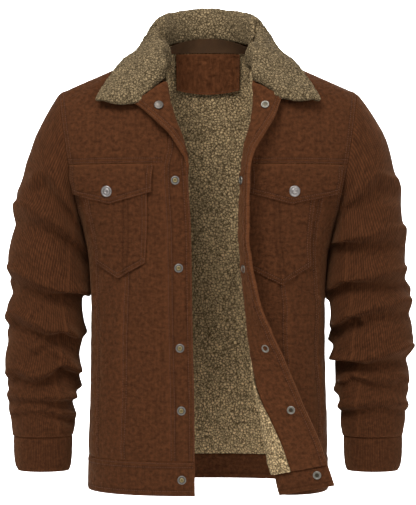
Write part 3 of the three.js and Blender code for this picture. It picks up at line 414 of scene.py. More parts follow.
def front_row(side, height):
    """One row of a front, from its free edge over the turned cloth to the side seam or the armhole."""
    key = (side, round(float(height), 3))
    if key in STORE:
        return STORE[key]
    at = {name: float(track(FRONTS[side], "height", name, height)) for name in FRONT_COLUMNS.split()}
    if height <= CHEST:
        body = level_line(at["x"], -at["y"], height) * (1, -1, 1)
    else:
        feet = front_row(side, CHEST)["body"]
        heads = lambda place: front_heads(side, place)
        body = upper_row(feet, heads, NECK_SHARE_FRONT, NECK_SLOPE_FRONT, height)
    start = body[0]
    ahead = body[6]
    begin = max(math.atan2(ahead[1] - start[1], ahead[0] - start[0]), 0)
    turn = max(math.radians(at["turn"]), begin)
    angle = np.linspace(turn, begin, CURL_STEPS + 1)
    curl = start + np.stack([
        -at["radius"] * (np.sin(angle) - math.sin(begin)),
        -at["radius"] * (math.cos(begin) - np.cos(angle)),
        at["lift"] * at["radius"] * (angle - begin)], axis=-1)
    edge = curl[0] + np.array((-math.cos(turn), -math.sin(turn), at["lift"])) * at["flap"]
    points = np.concatenate([[edge], curl[:-1], body])
    sums = lengths(points)
    STORE[key] = {"points": points, "sums": sums, "flap": sums[1], "curl": sums[CURL_STEPS + 1], "body": body}
    return STORE[key]


def back_row(height):
    """One row of the back, from the right side to the left one, with its left half from the middle."""
    key = ("back", round(float(height), 3))
    if key in STORE:
        return STORE[key]
    if height <= CHEST:
        half = level_line(0, track(BACK_DEPTH, "height", "depth", height), height)
    else:
        half = upper_row(back_row(CHEST)["half"], back_heads, NECK_SHARE_BACK, NECK_SLOPE_BACK, height)
    points = np.concatenate([half[::-1], half[1:] * (-1, 1, 1)])
    index = np.linspace(0, 1, 2 * FINE + 1)
    STORE[key] = {"half": half, "points": points, "sums": lengths(points), "index": index}
    return STORE[key]


def front_frame(side, s, height):
    """Points, normals and onward directions at distances along one row of a front."""
    row = front_row(side, height)
    below = front_row(side, max(height - 1, HEM))
    above = front_row(side, min(height + 1, TOP))
    total = row["sums"][-1]
    at = lambda line, place: along(line["points"], line["sums"], place)
    across = at(row, np.minimum(s + 1, total)) - at(row, np.maximum(s - 1, 0))
    turned = s - row["curl"]
    up = at(above, turned + above["curl"]) - at(below, turned + below["curl"])
    normal = unit(np.cross(across, up))
    return at(row, s), normal, unit(np.cross(normal, across))


def back_frame(share, height):
    """Points, normals and onward directions at shares of one row of the back."""
    row = back_row(height)
    below = back_row(max(height - 1, HEM))
    above = back_row(min(height + 1, TOP))
    step = 0.003
    at = lambda line, place: along(line["points"], line["index"], place)
    across = at(row, np.minimum(share + step, 1)) - at(row, np.maximum(share - step, 0))
    normal = unit(np.cross(across, at(above, share) - at(below, share)))
    return at(row, share), normal, unit(np.cross(normal, across))


def spread(width, pitch):
    """Shares from 0 to 1 over a width, close together at the edges and at their lines of stitches."""
    first, second = INSETS
    between = (first + second) / 2
    ends = np.array((0, 0.5, 1.2, first, first + 0.9, between, second - 0.9, second, second + 0.9))
    inner = max(int((width - 2 * ends[-1]) / pitch), 2)
    middle = np.linspace(ends[-1], width - ends[-1], inner + 1)[1:-1]
    return np.concatenate([ends, middle, width - ends[::-1]]) / width


def row_heights(low, high, pitch):
    """Heights from low to high. Above the chest a hundredth is longer than a millimetre."""
    below = max(min(CHEST, high) - low, 0)
    above = high - max(CHEST, low)
    if above <= 0:
        return low + below * spread(below, pitch)
    total = below + above * YOKE_STRETCH
    at = total * spread(total, pitch)
    start = max(CHEST, low)
    return np.where(at < below, low + at, start + (at - below) / YOKE_STRETCH)


def soft_noise(u, v, size, seed):
    """Smooth unevenness between 0 and 1, from a few long waves in drawn directions."""
    draw = np.random.default_rng(seed)
    total = np.zeros(np.broadcast(u, v).shape)
    waves = 7
    for _ in range(waves):
        angle = draw.uniform(0, math.pi)
        length = size * draw.uniform(0.7, 1.8)
        phase = draw.uniform(0, 2 * math.pi)
        total += np.sin((u * math.cos(angle) + v * math.sin(angle)) * 2 * math.pi / length + phase)
    return 0.5 + total / (2 * waves)


def curls(point, size, seed):
    """Height of a curly pile between 0 and 1: drawn round tufts in space that lean on each other."""
    cells = 31
    draw = np.random.default_rng(seed)
    jitter = draw.uniform(-0.42, 0.42, (cells, cells, cells, 3))
    tall = draw.uniform(0.5, 1, (cells, cells, cells))
    place = point / size
    cell = np.floor(place).astype(int)
    best = np.zeros(point.shape[:2])
    for step in np.ndindex(3, 3, 3):
        near = cell + np.array(step) - 1
        i, j, k = np.moveaxis(near % cells, -1, 0)
        gap = np.linalg.norm(place - near - 0.5 - jitter[i, j, k], axis=-1)
        best = np.maximum(best, tall[i, j, k] * np.sqrt(np.clip(1 - (gap / 0.85) ** 2, 0, 1)))
    return best


def edge_lengths(grid):
    """Distances of each point from the four edges of its piece, along the grid's own lines."""
    across = np.linalg.norm(np.diff(grid, axis=1), axis=2)
    up = np.linalg.norm(np.diff(grid, axis=0), axis=2)
    low = np.concatenate([np.zeros((grid.shape[0], 1)), np.cumsum(across, axis=1)], axis=1)
    foot = np.concatenate([np.zeros((1, grid.shape[1])), np.cumsum(up, axis=0)], axis=0)
    return {"low": low, "high": low[:, -1:] - low, "foot": foot, "top": foot[-1:] - foot}


def edge_distance(grid):
    """Distance in millimetres of each point of a grid from the nearest edge of its piece."""
    return np.min(list(edge_lengths(grid).values()), axis=0)


def rounded(edge, drop=0.9, reach=1.6):
    """How far the face of a wall falls away close to its edges."""
    return -drop * np.exp(-edge / reach)


def wear_and_highlight(edge):
    """1 at the edges of a piece, fading inwards, for the paler cloth there: partly worn, partly a painted
    highlight.
    """
    return np.exp(-edge / WEAR_AND_HIGHLIGHT_REACH)


def stitch_groove_shade(grid, edges):
    """1 in the grooves under the lines of stitches, where painted shade darkens the cloth."""
    away = edge_lengths(grid)
    mask = np.zeros(grid.shape[:2])
    for edge in edges:
        for inset in INSETS:
            mask = np.maximum(mask, np.exp(-((away[edge] - inset) / 1.1) ** 2))
    return mask


def seam_relief(grid, edges, insets=INSETS, depth=0.75):
    """Grooves under the lines of stitches, and the thicker strip of cloth between them and the edge."""
    away = edge_lengths(grid)
    relief = np.zeros(grid.shape[:2])
    for edge in edges:
        gap = away[edge]
        strip = 1 - ease(gap, max(insets), max(insets) + 2)
        groove = sum(np.exp(-((gap - inset) / 0.9) ** 2) for inset in insets)
        pucker = 0.22 * np.sin(away["foot" if edge in ("low", "high") else "low"] / 1.1)
        relief += 0.45 * strip - depth * groove + pucker * np.exp(-((gap - np.mean(insets)) / 5) ** 2)
    return relief


# The lines of stitches that the pieces asked for, by the name of their group.
SEWING = {}


def sew(group, face, normal, edges, side="left", insets=INSETS):
    """Keeps the lines of stitches along some edges of a face, for the operator that sews them."""
    away = edge_lengths(face)
    for edge in edges:
        upright = edge in ("low", "high")
        cells = (face, normal, away[edge]) if upright else (
            face.transpose(1, 0, 2), normal.transpose(1, 0, 2), away[edge].T)
        if edge in ("high", "top"):
            cells = tuple(cell[:, ::-1] for cell in cells)
        for inset in insets:
            at_inset = lambda rows: np.array([[np.interp(inset, gap, row[:, k]) for k in range(3)]
                                              for row, gap in zip(rows, cells[2])])
            line, up = at_inset(cells[0]), at_inset(cells[1])
            if side == "right":
                line, up = line * (-1, 1, 1), up * (-1, 1, 1)
            SEWING.setdefault(group, []).append((line, unit(up)))


def deselect():
    """Leaves edit mode and selects nothing."""
    if bpy.context.object and bpy.context.object.mode != "OBJECT":
        bpy.ops.object.mode_set(mode="OBJECT")
    bpy.ops.object.select_all(action="DESELECT")


def finish_piece(piece, name, material, replaced):
    """Names a piece, gives it its one material and sets it over the nodes that it stands for."""
    piece.name = name
    piece.data.name = name
    piece.data.materials.clear()
    piece.data.materials.append(material)
    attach(piece, "root")
    if replaced:
        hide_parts(*replaced)


def wall(outer, inner, uv, values):
    """A closed wall of cloth between two grids of points, with its UV map and named point values."""
    rows, columns = outer.shape[:2]
    deselect()
    bpy.ops.mesh.primitive_grid_add(x_subdivisions=columns - 1, y_subdivisions=rows - 1, size=1,
                                    location=(0, 0, 0))
    piece = bpy.context.object
    mesh = piece.data
    mesh.vertices.foreach_set("co", (outer * MM).ravel())
    corner_points = np.empty(len(mesh.loops), int)
    mesh.loops.foreach_get("vertex_index", corner_points)
    mesh.uv_layers.active.data.foreach_set("uv", (uv.reshape(-1, 2) * MM)[corner_points].ravel())
    for label, value in values.items():
        layer = mesh.attributes.new(label, "FLOAT", "POINT")
        layer.data.foreach_set("value", np.ascontiguousarray(value, float).ravel())
    solid = piece.modifiers.new("wall", "SOLIDIFY")
    solid.thickness = 0.001
    solid.offset = -1
    bpy.ops.object.modifier_apply(modifier=solid.name)
    both = np.concatenate([outer.reshape(-1, 3), inner.reshape(-1, 3)]) * MM
    piece.data.vertices.foreach_set("co", both.ravel())
    piece.data.update()
    bpy.ops.object.shade_smooth_by_angle(angle=math.radians(58))
    return piece


def flip(array, side):
    """The wearer's right side is the mirror image of the left one, with its columns reversed."""
    if side == "left":
        return array
    turned = array[:, ::-1].copy()
    if turned.ndim == 3 and turned.shape[2] == 3:
        turned[..., 0] *= -1
    return turned


def declare_cloth(grid):
    """Works out the flat width, length and area of a piece of cloth from the lengths of its rows and columns;
    nothing uses them.
    """
    width = np.linalg.norm(np.diff(grid, axis=1), axis=2).sum(axis=1).max() * MM
    length = np.linalg.norm(np.diff(grid, axis=0), axis=2).sum(axis=0).max() * MM
    a, b, c = grid[:-1, :-1], grid[:-1, 1:], grid[1:, :-1]
    area = np.linalg.norm(np.cross(b - a, c - a), axis=2).sum() * MM * MM
    area = min(area, width * length)


def cloth_piece(name, slot, side, grids, values, point, replaced, look=None):
    """A finished wall of cloth or pile from its outer, inner and UV grids, mirrored for the right side."""
    values = {label: flip(value, side) for label, value in values.items()}
    piece = wall(*(flip(grid, side) for grid in grids), values)
    finish_piece(piece, name, material_for(look or slot), replaced)
    declare_cloth(point)


def placket_edge(side, height):
    """Distance of the placket seam from the free edge, wider round the turn of the lapel."""
    wide = max(PLACKET, front_row(side, height)["curl"] + 2)
    return PLACKET + (wide - PLACKET) * float(ease(height, CHEST - 48, CHEST - 1))


def front_end(side, height):
    """Distance of the side seam or the armhole from the free edge of a front."""
    return front_row(side, height)["sums"][-1]


def seam_at(name, height):
    """Distance of an upright panel seam from the free edge of a front."""
    return float(track(PANEL_SEAMS, "height", name, height))


def looser(levels, side, height):
    """Inner layers lie a little looser where the turn is tight: in the lapels and low on the left."""
    lapel = ease(height, CHEST, CHEST + 25)
    foot = 1 - ease(height, -540, -500) if side == "left" else np.zeros_like(lapel)
    loose = INNER_LOOSE * np.maximum(lapel, foot)
    return levels[0] - loose, levels[1] - loose


# Soft folds of the fronts, as ridges between two places given by distance from the free edge and height.
SOFT_COLUMNS = "s0 h0 s1 h1 rise width"
# They are drawn this much higher and wider than the table says.
SOFT_RISE = 2.3
SOFT_WIDTH = 1.5
SOFT_FOLDS = {
    "right": table(
        SOFT_COLUMNS,
        (52, -250, 74, -420, 1.6, 8),
        (84, -300, 60, -500, 1.8, 9),
        (50, -430, 88, -600, 1.5, 9),
        (112, -380, 128, -560, 1.4, 8),
        (70, -540, 108, -640, 1.4, 8),
        (150, -400, 140, -600, 1.3, 8),
        (190, -330, 170, -450, 1.6, 9),
        (60, -130, 150, -190, 1.2, 10),
    ),
    "left": table(
        SOFT_COLUMNS,
        (96, -330, 118, -480, 1.6, 8),
        (84, -250, 92, -420, 1.5, 8),
        (120, -400, 110, -560, 1.6, 9),
        (142, -420, 150, -600, 1.4, 8),
        (180, -340, 168, -470, 1.7, 9),
        (176, -480, 190, -600, 1.3, 8),
        (80, -130, 160, -185, 1.2, 10),
    ),
}


def front_relief(side, s, h):
    """How far folds and drawn seams lift the cloth of a front. It is never below the plain face."""
    folds = SOFT_FOLDS[side]
    seed = 11 if side == "right" else 13
    lift = 2.4 * soft_noise(s, h * 0.45, 60, seed) + 1.5 * soft_noise(s, h, 24, seed + 1)
    for i in range(len(folds["rise"])):
        a = np.array((folds["s0"][i], folds["h0"][i]))
        b = np.array((folds["s1"][i], folds["h1"][i]))
        span = b - a
        share = np.clip(((s - a[0]) * span[0] + (h - a[1]) * span[1]) / (span @ span), 0, 1)
        gap = np.hypot(s - a[0] - span[0] * share, h - a[1] - span[1] * share)
        near = gap / (SOFT_WIDTH * folds["width"][i])
        swell = np.sin(math.pi * np.clip(share, 0.04, 0.96))
        lift += SOFT_RISE * folds["rise"][i] * swell * np.exp(-near * near)
    ends = np.array([front_end(side, value) for value in h[:, 0]])[:, None]
    taper = ease(ends - s, 2, 26) * ease(h, BAND_TOP, BAND_TOP + 22) * (1 - ease(h, TOP - 24, TOP - 3))
    for name in ("inner", "outer"):
        near = np.abs(s - track(PANEL_SEAMS, "height", name, h))
        lift += ripples(near, h, 1.1, 10) * (1 - ease(h, CHEST - 4, CHEST))
    lift += ripples(np.abs(s - PLACKET), h, 0.9, 9) * ease(s, 14, 30)
    lift = (lift + ripples(np.abs(h - CHEST), s, 0.8, 8)) * taper
    near = np.min([np.hypot(s - SNAP_INSET, h - height) for height in STUD_HEIGHTS], axis=0)
    return lift * (1 - (1 - ease(near, *STUD_FLAT)) * (h < CHEST))


def ripples(near, along_seam, rise, reach):
    """Small puckers that the stitches draw up across a seam, uneven along it."""
    swing = along_seam / 1.9 + 2.4 * np.sin(along_seam / 17) + 1.3 * np.sin(along_seam / 7.3)
    strong = 0.45 + 0.55 * np.sin(along_seam / 31 + 1.3 * np.sin(along_seam / 12)) ** 2
    return rise * strong * np.exp(-near / reach) * (1 + np.sin(swing))


class Materials:
    """Finished materials by the name of their slot, made once."""

    made = {}


def shader_node(tree, kind, inputs=None, **settings):
    """A node with its settings, and its inputs linked from sockets or set to values."""
    made = tree.nodes.new(kind)
    for name, value in settings.items():
        setattr(made, name, value)
    for name, value in (inputs or {}).items():
        if isinstance(value, bpy.types.NodeSocket):
            tree.links.new(value, made.inputs[name])
        else:
            made.inputs[name].default_value = value
    return made


def math_node(tree, operation, *values):
    return shader_node(tree, "ShaderNodeMath", dict(enumerate(values)), operation=operation).outputs[0]


def noise(tree, vector, scale, detail=2.0, **more):
    """A noise texture over a vector."""
    inputs = {"Vector": vector, "Scale": scale, "Detail": detail, **more}
    return shader_node(tree, "ShaderNodeTexNoise", inputs)


def ramp(tree, value, low, high, start=0.0, end=1.0):
    """A value spread from between low and high to between start and end."""
    return shader_node(tree, "ShaderNodeMapRange", {0: value, 1: low, 2: high, 3: start, 4: end}).outputs[0]


def bumped(tree, height, strength, distance, **more):
    """A normal bent by a height."""
    inputs = {"Height": height, "Strength": strength, "Distance": distance, **more}
    return shader_node(tree, "ShaderNodeBump", inputs).outputs[0]


def point_value(tree, name):
    """A named value of the points of a mesh."""
    return shader_node(tree, "ShaderNodeAttribute", attribute_name=name).outputs["Fac"]


def object_place(tree):
    return shader_node(tree, "ShaderNodeTexCoord").outputs["Object"]


def mix_colour(tree, factor, one, two):
    """A colour between two, by a factor."""
    return shader_node(tree, "ShaderNodeMix", {"Factor": factor, 6: one, 7: two}, data_type="RGBA").outputs[2]


def set_surface(surface, colour, values, normal=None):
    """Links the colour and the normal of a surface and sets its plain values."""
    tree = surface.id_data
    tree.links.new(colour, surface.inputs["Base Color"])
    if normal is not None:
        tree.links.new(normal, surface.inputs["Normal"])
    for name, value in values.items():
        surface.inputs[name].default_value = value


def effect_group(name, inputs, outputs):
    """A node group with named sockets. Inputs and outputs are (name, kind, default)."""
    group = bpy.data.node_groups.new(name, "ShaderNodeTree")
    for label, kind, default in inputs:
        socket = group.interface.new_socket(name=label, in_out="INPUT", socket_type=kind)
        if default is not None:
            socket.default_value = default
    for label, kind in outputs:
        group.interface.new_socket(name=label, in_out="OUTPUT", socket_type=kind)
    return group, group.nodes.new("NodeGroupInput"), group.nodes.new("NodeGroupOutput")


def wale_group():
    """Ribs of corduroy that run up the cloth: their height and how deep a point lies between two."""
    group, start, end = effect_group(
        "Corduroy wales",
        [("Vector", "NodeSocketVector", None), ("Pitch", "NodeSocketFloat", 0.002),
         ("Waver", "NodeSocketFloat", 0.2)],
        [("Height", "NodeSocketFloat"), ("Groove", "NodeSocketFloat")],
    )
    place = shader_node(group, "ShaderNodeSeparateXYZ", {0: start.outputs["Vector"]})
    wander = noise(group, start.outputs["Vector"], 60.0, 3.0)
    count = math_node(group, "DIVIDE", place.outputs["X"], start.outputs["Pitch"])
    swing = math_node(group, "MULTIPLY", wander.outputs["Fac"], start.outputs["Waver"])
    turns = math_node(group, "MULTIPLY", math_node(group, "ADD", count, swing), 2 * math.pi)
    wave = math_node(group, "MULTIPLY_ADD", math_node(group, "SINE", turns), 0.5, 0.5)
    height = math_node(group, "POWER", wave, 0.6)
    group.links.new(height, end.inputs["Height"])
    group.links.new(math_node(group, "SUBTRACT", 1.0, height), end.inputs["Groove"])
    return group


def nap_group():
    """Brushed nap: cloudy patches and fine upright streaks between a dark and a light colour."""
    group, start, end = effect_group(
        "Brushed nap",
        [("Vector", "NodeSocketVector", None), ("Dark", "NodeSocketColor", (0, 0, 0, 1)),
         ("Light", "NodeSocketColor", (1, 1, 1, 1)), ("Patch", "NodeSocketFloat", 14.0),
         ("Streak", "NodeSocketFloat", 0.35)],
        [("Color", "NodeSocketColor")],
    )
    cloud = noise(group, start.outputs["Vector"], start.outputs["Patch"], 5.0, Roughness=0.6)
    drawn = shader_node(group, "ShaderNodeVectorMath", {0: start.outputs["Vector"], 1: (260.0, 22.0, 22.0)},
                        operation="MULTIPLY")
    streak = noise(group, drawn.outputs[0], 1.0, 4.0)
    both = math_node(group, "MULTIPLY_ADD", math_node(group, "SUBTRACT", streak.outputs["Fac"], 0.5),
                     start.outputs["Streak"], cloud.outputs["Fac"])
    colour = mix_colour(group, ramp(group, both, 0.3, 0.7), start.outputs["Dark"], start.outputs["Light"])
    group.links.new(colour, end.inputs["Color"])
    return group


def placed(tree, group, **inputs):
    """A group placed in a material with its own values."""
    return shader_node(tree, "ShaderNodeGroup", inputs, node_tree=group)


def new_material(name):
    """A new material with its node tree and its surface node."""
    material = bpy.data.materials.new(name)
    material.use_nodes = True
    tree = material.node_tree
    return material, tree, tree.nodes["Principled BSDF"]


def toned(colour, factor):
    """A colour made lighter or darker."""
    return tuple(part * factor for part in colour)


def shade(colour, factor):
    """A colour made lighter or darker, with full alpha."""
    return toned(colour, factor) + (1.0,)


def corduroy(name, colour, pitch, wale_shade, depth, waver=0.25, rumple=0.004):
    """Ribbed cotton: wales with painted shade in their grooves, brushed nap, small rumples, painted shade in
    the stitch grooves of its seams, paler edges that are partly worn and partly a painted highlight, and a
    soft sheen.
    """
    material, tree, surface = new_material(name)
    uv = shader_node(tree, "ShaderNodeUVMap").outputs[0]
    where = object_place(tree)
    wales = placed(tree, effect("wales"), Vector=uv, Pitch=pitch, Waver=waver)
    nap = placed(tree, effect("nap"), Vector=uv, Dark=shade(colour, 0.6), Light=shade(colour, 1.48),
                 Patch=160.0, Streak=0.24)
    # Painted shade: the grooves between the wales are darkened towards a quarter of the cloth's colour.
    grooved = mix_colour(tree, math_node(tree, "MULTIPLY", wales.outputs["Groove"], wale_shade),
                         nap.outputs["Color"], shade(colour, 0.25))
    # Painted shade in the grooves under the lines of stitches, from the groove value of the points.
    sewn = point_value(tree, "groove")
    shaded = mix_colour(tree, math_node(tree, "MULTIPLY", sewn, 0.55), grooved, shade(colour, 0.35))
    # Paler edges: partly worn nap, partly a painted highlight on the raised edges of the pieces.
    edge = point_value(tree, "edge")
    fuzz = noise(tree, where, 420.0, 3.0).outputs["Fac"]
    edge_wear_and_highlight = math_node(tree, "MULTIPLY", math_node(tree, "MULTIPLY", edge, fuzz), 0.7)
    rubbed_and_lit = mix_colour(tree, edge_wear_and_highlight, shaded, shade(colour, 2.0))
    flat = shader_node(tree, "ShaderNodeVectorMath", {0: uv, 1: (78.0, 112.0, 78.0)}, operation="MULTIPLY")
    rumples = noise(tree, flat.outputs[0], 1.0, 3.0, Distortion=0.6)
    soft = bumped(tree, rumples.outputs["Fac"], 1.0, rumple)
    high = math_node(tree, "MULTIPLY_ADD", fuzz, 0.25, wales.outputs["Height"])
    set_surface(surface, rubbed_and_lit, {
        "Roughness": 0.92, "Specular IOR Level": 0.05, "Sheen Weight": 0.12, "Sheen Roughness": 0.4,
        "Sheen Tint": (0.9, 0.45, 0.22, 1.0)}, bumped(tree, high, 0.6, depth, Normal=soft))
    return material


def pile(name, dark, light):
    """Curly pile: painted shade between its tufts and pale on their crowns, with fine twisted fibres."""
    material, tree, surface = new_material(name)
    where = object_place(tree)
    tuft = point_value(tree, "pile")
    twist = noise(tree, where, 230.0, 2.0, Roughness=0.55, Distortion=1.4)
    bend = shader_node(tree, "ShaderNodeVectorMath", {
        0: twist.outputs["Color"], 1: (0.0052, 0.0052, 0.0052), 2: where}, operation="MULTIPLY_ADD")
    curl = shader_node(tree, "ShaderNodeTexVoronoi", {"Vector": bend.outputs[0], "Scale": 225.0},
                       feature="DISTANCE_TO_EDGE")
    crown = math_node(tree, "MINIMUM", math_node(tree, "MULTIPLY", curl.outputs["Distance"], 3.4), 1.0)
    both = math_node(tree, "MULTIPLY_ADD", tuft, 0.15, crown)
    uneven = math_node(tree, "MULTIPLY_ADD", twist.outputs["Fac"], 1.1, both)
    reach = ramp(tree, uneven, 0.78, 1.24)
    nap = placed(tree, effect("nap"), Vector=where, Dark=shade(light, 0.82), Light=shade(light, 1.16),
                 Patch=60.0, Streak=0.0)
    # Painted shade: the colour falls to the pile's shadow colour between the tufts and where they stand low.
    colour = mix_colour(tree, reach, dark + (1.0,), nap.outputs["Color"])
    high = math_node(tree, "MULTIPLY_ADD", twist.outputs["Fac"], 0.3, both)
    set_surface(surface, colour, {
        "Roughness": 0.95, "Specular IOR Level": 0.05, "Sheen Weight": 0.1, "Sheen Roughness": 0.6,
        "Sheen Tint": (0.9, 0.75, 0.5, 1.0)}, bumped(tree, high, 0.9, 0.003))
    return material


def woven(name, colour):
    """Flat woven tape: a fine plain weave, with painted shade in its grooves."""
    material, tree, surface = new_material(name)
    uv = shader_node(tree, "ShaderNodeUVMap").outputs[0]
    wales = placed(tree, effect("wales"), Vector=uv, Pitch=0.0016, Waver=0.1)
    nap = placed(tree, effect("nap"), Vector=uv, Dark=shade(colour, 0.8), Light=shade(colour, 1.2),
                 Patch=50.0)
    # Painted shade in the grooves of the weave.
    dark = mix_colour(tree, math_node(tree, "MULTIPLY", wales.outputs["Groove"], 0.4), nap.outputs["Color"],
                      shade(colour, 0.5))
    set_surface(surface, dark, {"Roughness": 0.8}, bumped(tree, wales.outputs["Height"], 0.4, 0.0005))
    return material


def thread(name, colour):
    """Sewing thread, slightly uneven in tone."""
    material, tree, surface = new_material(name)
    twist = noise(tree, object_place(tree), 900.0)
    tone = mix_colour(tree, twist.outputs["Fac"], shade(colour, 0.7), shade(colour, 1.3))
    set_surface(surface, tone, {"Roughness": 0.7})
    return material


def metal(name, colour, roughness, middle=None):
    """Plated metal with tarnish, dark in its grooves, and another colour in its middle if one is given."""
    material, tree, surface = new_material(name)
    stain = noise(tree, object_place(tree), 240.0, 4.0).outputs["Fac"]
    tone = mix_colour(tree, stain, shade(colour, 0.55), shade(colour, 1.15))
    if middle:
        core = ramp(tree, point_value(tree, "reach"), 0.4, 0.6, 1.0, 0.0)
        tone = mix_colour(tree, core, tone, shade(middle, 1.0))
    deep = ramp(tree, point_value(tree, "rise"), 0.15, 0.5, 0.65, 0.0)
    tone = mix_colour(tree, deep, tone, shade(colour, 0.12))
    rough = ramp(tree, stain, 0.3, 0.7, roughness + 0.15, roughness)
    tree.links.new(rough, surface.inputs["Roughness"])
    set_surface(surface, tone, {"Metallic": 1.0}, bumped(tree, stain, 0.25, 0.0003))
    return material


def effect(name):
    """The shared node groups, each made once."""
    builders = {"wales": wale_group, "nap": nap_group}
    if name not in Materials.made:
        Materials.made[name] = builders[name]()
    return Materials.made[name]


def material_for(slot):
    """The finished material of a slot, from the looks that the panel shows."""
    looks = bpy.context.scene.jacket_looks
    cloth = tuple(looks.cloth)
    builders = {
        "corduroy": lambda: corduroy("Fine corduroy", cloth, looks.body_wale, wale_shade=0.35, depth=0.0005),
        "corduroy_wide": lambda: corduroy("Wide corduroy", toned(cloth, 0.96), looks.sleeve_wale,
                                          wale_shade=0.6, depth=0.0013, waver=0.5, rumple=0.0015),
        # Painted light: the neck patch is the body's corduroy made 1.7 times as bright, to lift it out of the
        # shade inside the neck.
        "patch": lambda: corduroy("Patch corduroy", toned(cloth, 1.7), looks.body_wale,
                                  wale_shade=0.3, depth=0.0005),
        "facing": lambda: corduroy("Facing corduroy", toned(cloth, 1.12), looks.body_wale,
                                   wale_shade=0.3, depth=0.0005),
        "sherpa": lambda: pile("Pile lining", tuple(looks.pile_shadow), tuple(looks.pile)),
        # Painted shade: the collar's pile is the lining's pile made about half as bright.
        "sherpa_collar": lambda: pile("Pile collar", toned(looks.pile_shadow, 0.48), toned(looks.pile, 0.47)),
        "tape": lambda: woven("Neck tape", tuple(looks.tape)),
        "stitch": lambda: thread("Sewing thread", toned(cloth, 1.5)),
        "snap_stud": lambda: metal("Aged stud", (0.36, 0.34, 0.31), roughness=0.34,
                                   middle=(0.36, 0.28, 0.13)),
        "snap_socket": lambda: metal("Dull nickel ring", (0.3, 0.28, 0.24), roughness=0.34,
                                     middle=(0.1, 0.08, 0.05)),
        "snap_cap": lambda: metal("Dull nickel cap", (0.13, 0.115, 0.1), roughness=0.42),
        "button": lambda: metal("Bright nickel", (0.36, 0.33, 0.315), roughness=0.3),
    }
    if slot not in Materials.made:
        Materials.made[slot] = builders[slot]()
    return Materials.made[slot]


def rgb(name, description, default):
    """A colour that a user would change."""
    return bpy.props.FloatVectorProperty(
        name=name, description=description, default=default, size=3, min=0, max=1, subtype="COLOR")


def size(name, description, default):
    """A length in metres that a user would change."""
    return bpy.props.FloatProperty(
        name=name, description=description, default=default, unit="LENGTH", precision=4)


class JACKET_PG_looks(bpy.types.PropertyGroup):
    """Colours and sizes of the cloth that a user would change."""

    cloth: rgb("Corduroy", "Colour of the corduroy", (0.0755, 0.0266, 0.0102))
    pile: rgb("Pile", "Colour of the crowns of the pile", (0.76, 0.55, 0.294))
    pile_shadow: rgb("Pile shadow", "Colour between the tufts of the pile", (0.14, 0.091, 0.042))
    tape: rgb("Tape", "Colour of the neck tape", (0.078, 0.032, 0.0065))
    body_wale: size("Body wale", "Width of one rib of the body's corduroy", 0.0021)
    sleeve_wale: size("Sleeve wale", "Width of one rib of the sleeves' corduroy", 0.0032)
    tuft: size("Tuft", "Width of one curl of the pile", 0.0054)
    tuft_height: size("Tuft height", "How far a curl stands over the pile's ground", 0.0024)


class JACKET_PG_sewing(bpy.types.PropertyGroup):
    """Sizes of the topstitching."""

    stitch: size("Stitch", "Length of one stitch", 0.0028)
    gap: size("Gap", "Distance between two stitches", 0.0010)
    thread: size("Thread", "Thickness of the sewing thread", 0.0009)


class Piece(bpy.types.Operator):
    """Base of the operators that make pieces of the jacket."""

    bl_options = {"REGISTER", "UNDO"}

    @classmethod
    def poll(cls, context):
        return hasattr(context.scene, "jacket_looks")


def front_grids(heights, low, high, pitch):
    """Distances from the free edge and heights of a fine grid over part of a front."""
    lows = np.array([low(h) for h in heights])
    highs = np.array([high(h) for h in heights])
    shares = spread(float(np.mean(highs - lows)), pitch)
    s = lows[:, None] + (highs - lows)[:, None] * shares
    return s, np.repeat(heights[:, None], s.shape[1], axis=1)


def front_faces(side, s, h):
    """Points and normals of a front at distances and heights whose rows are level."""
    frames = [front_frame(side, s[i], h[i, 0]) for i in range(len(s))]
    return np.stack([f[0] for f in frames]), np.stack([f[1] for f in frames])


def front_wall(name, side, s, h, levels, slot, relief=None, crown=None, sewn=(), inward=False):
    """A piece of a front between two levels, lifted by its relief, sewn and rounded on its shown side."""
    point, normal = front_faces(side, s, h)
    edge = edge_distance(point)
    lift = np.zeros(s.shape) if relief is None else relief
    face = rounded(edge) + (0 if crown is None else crown) + seam_relief(point, sewn)
    outer = point + normal * (levels[1] + lift + (0 if inward else face))[..., None]
    inner = point + normal * (levels[0] + lift - (face if inward else 0))[..., None]
    sew(f"front_{side}", inner if inward else outer, -normal if inward else normal, sewn, side)
    upright = name == "front_yoke"
    uv = np.stack([point[..., 0] if upright else s, point[..., 2] if upright else h], axis=-1)
    values = {"edge": wear_and_highlight(edge), "groove": stitch_groove_shade(point, sewn)}
    node = f"{name}_{side}"
    cloth_piece(f"{node}_cloth", slot, side, (outer, inner, uv), values, point, [node])


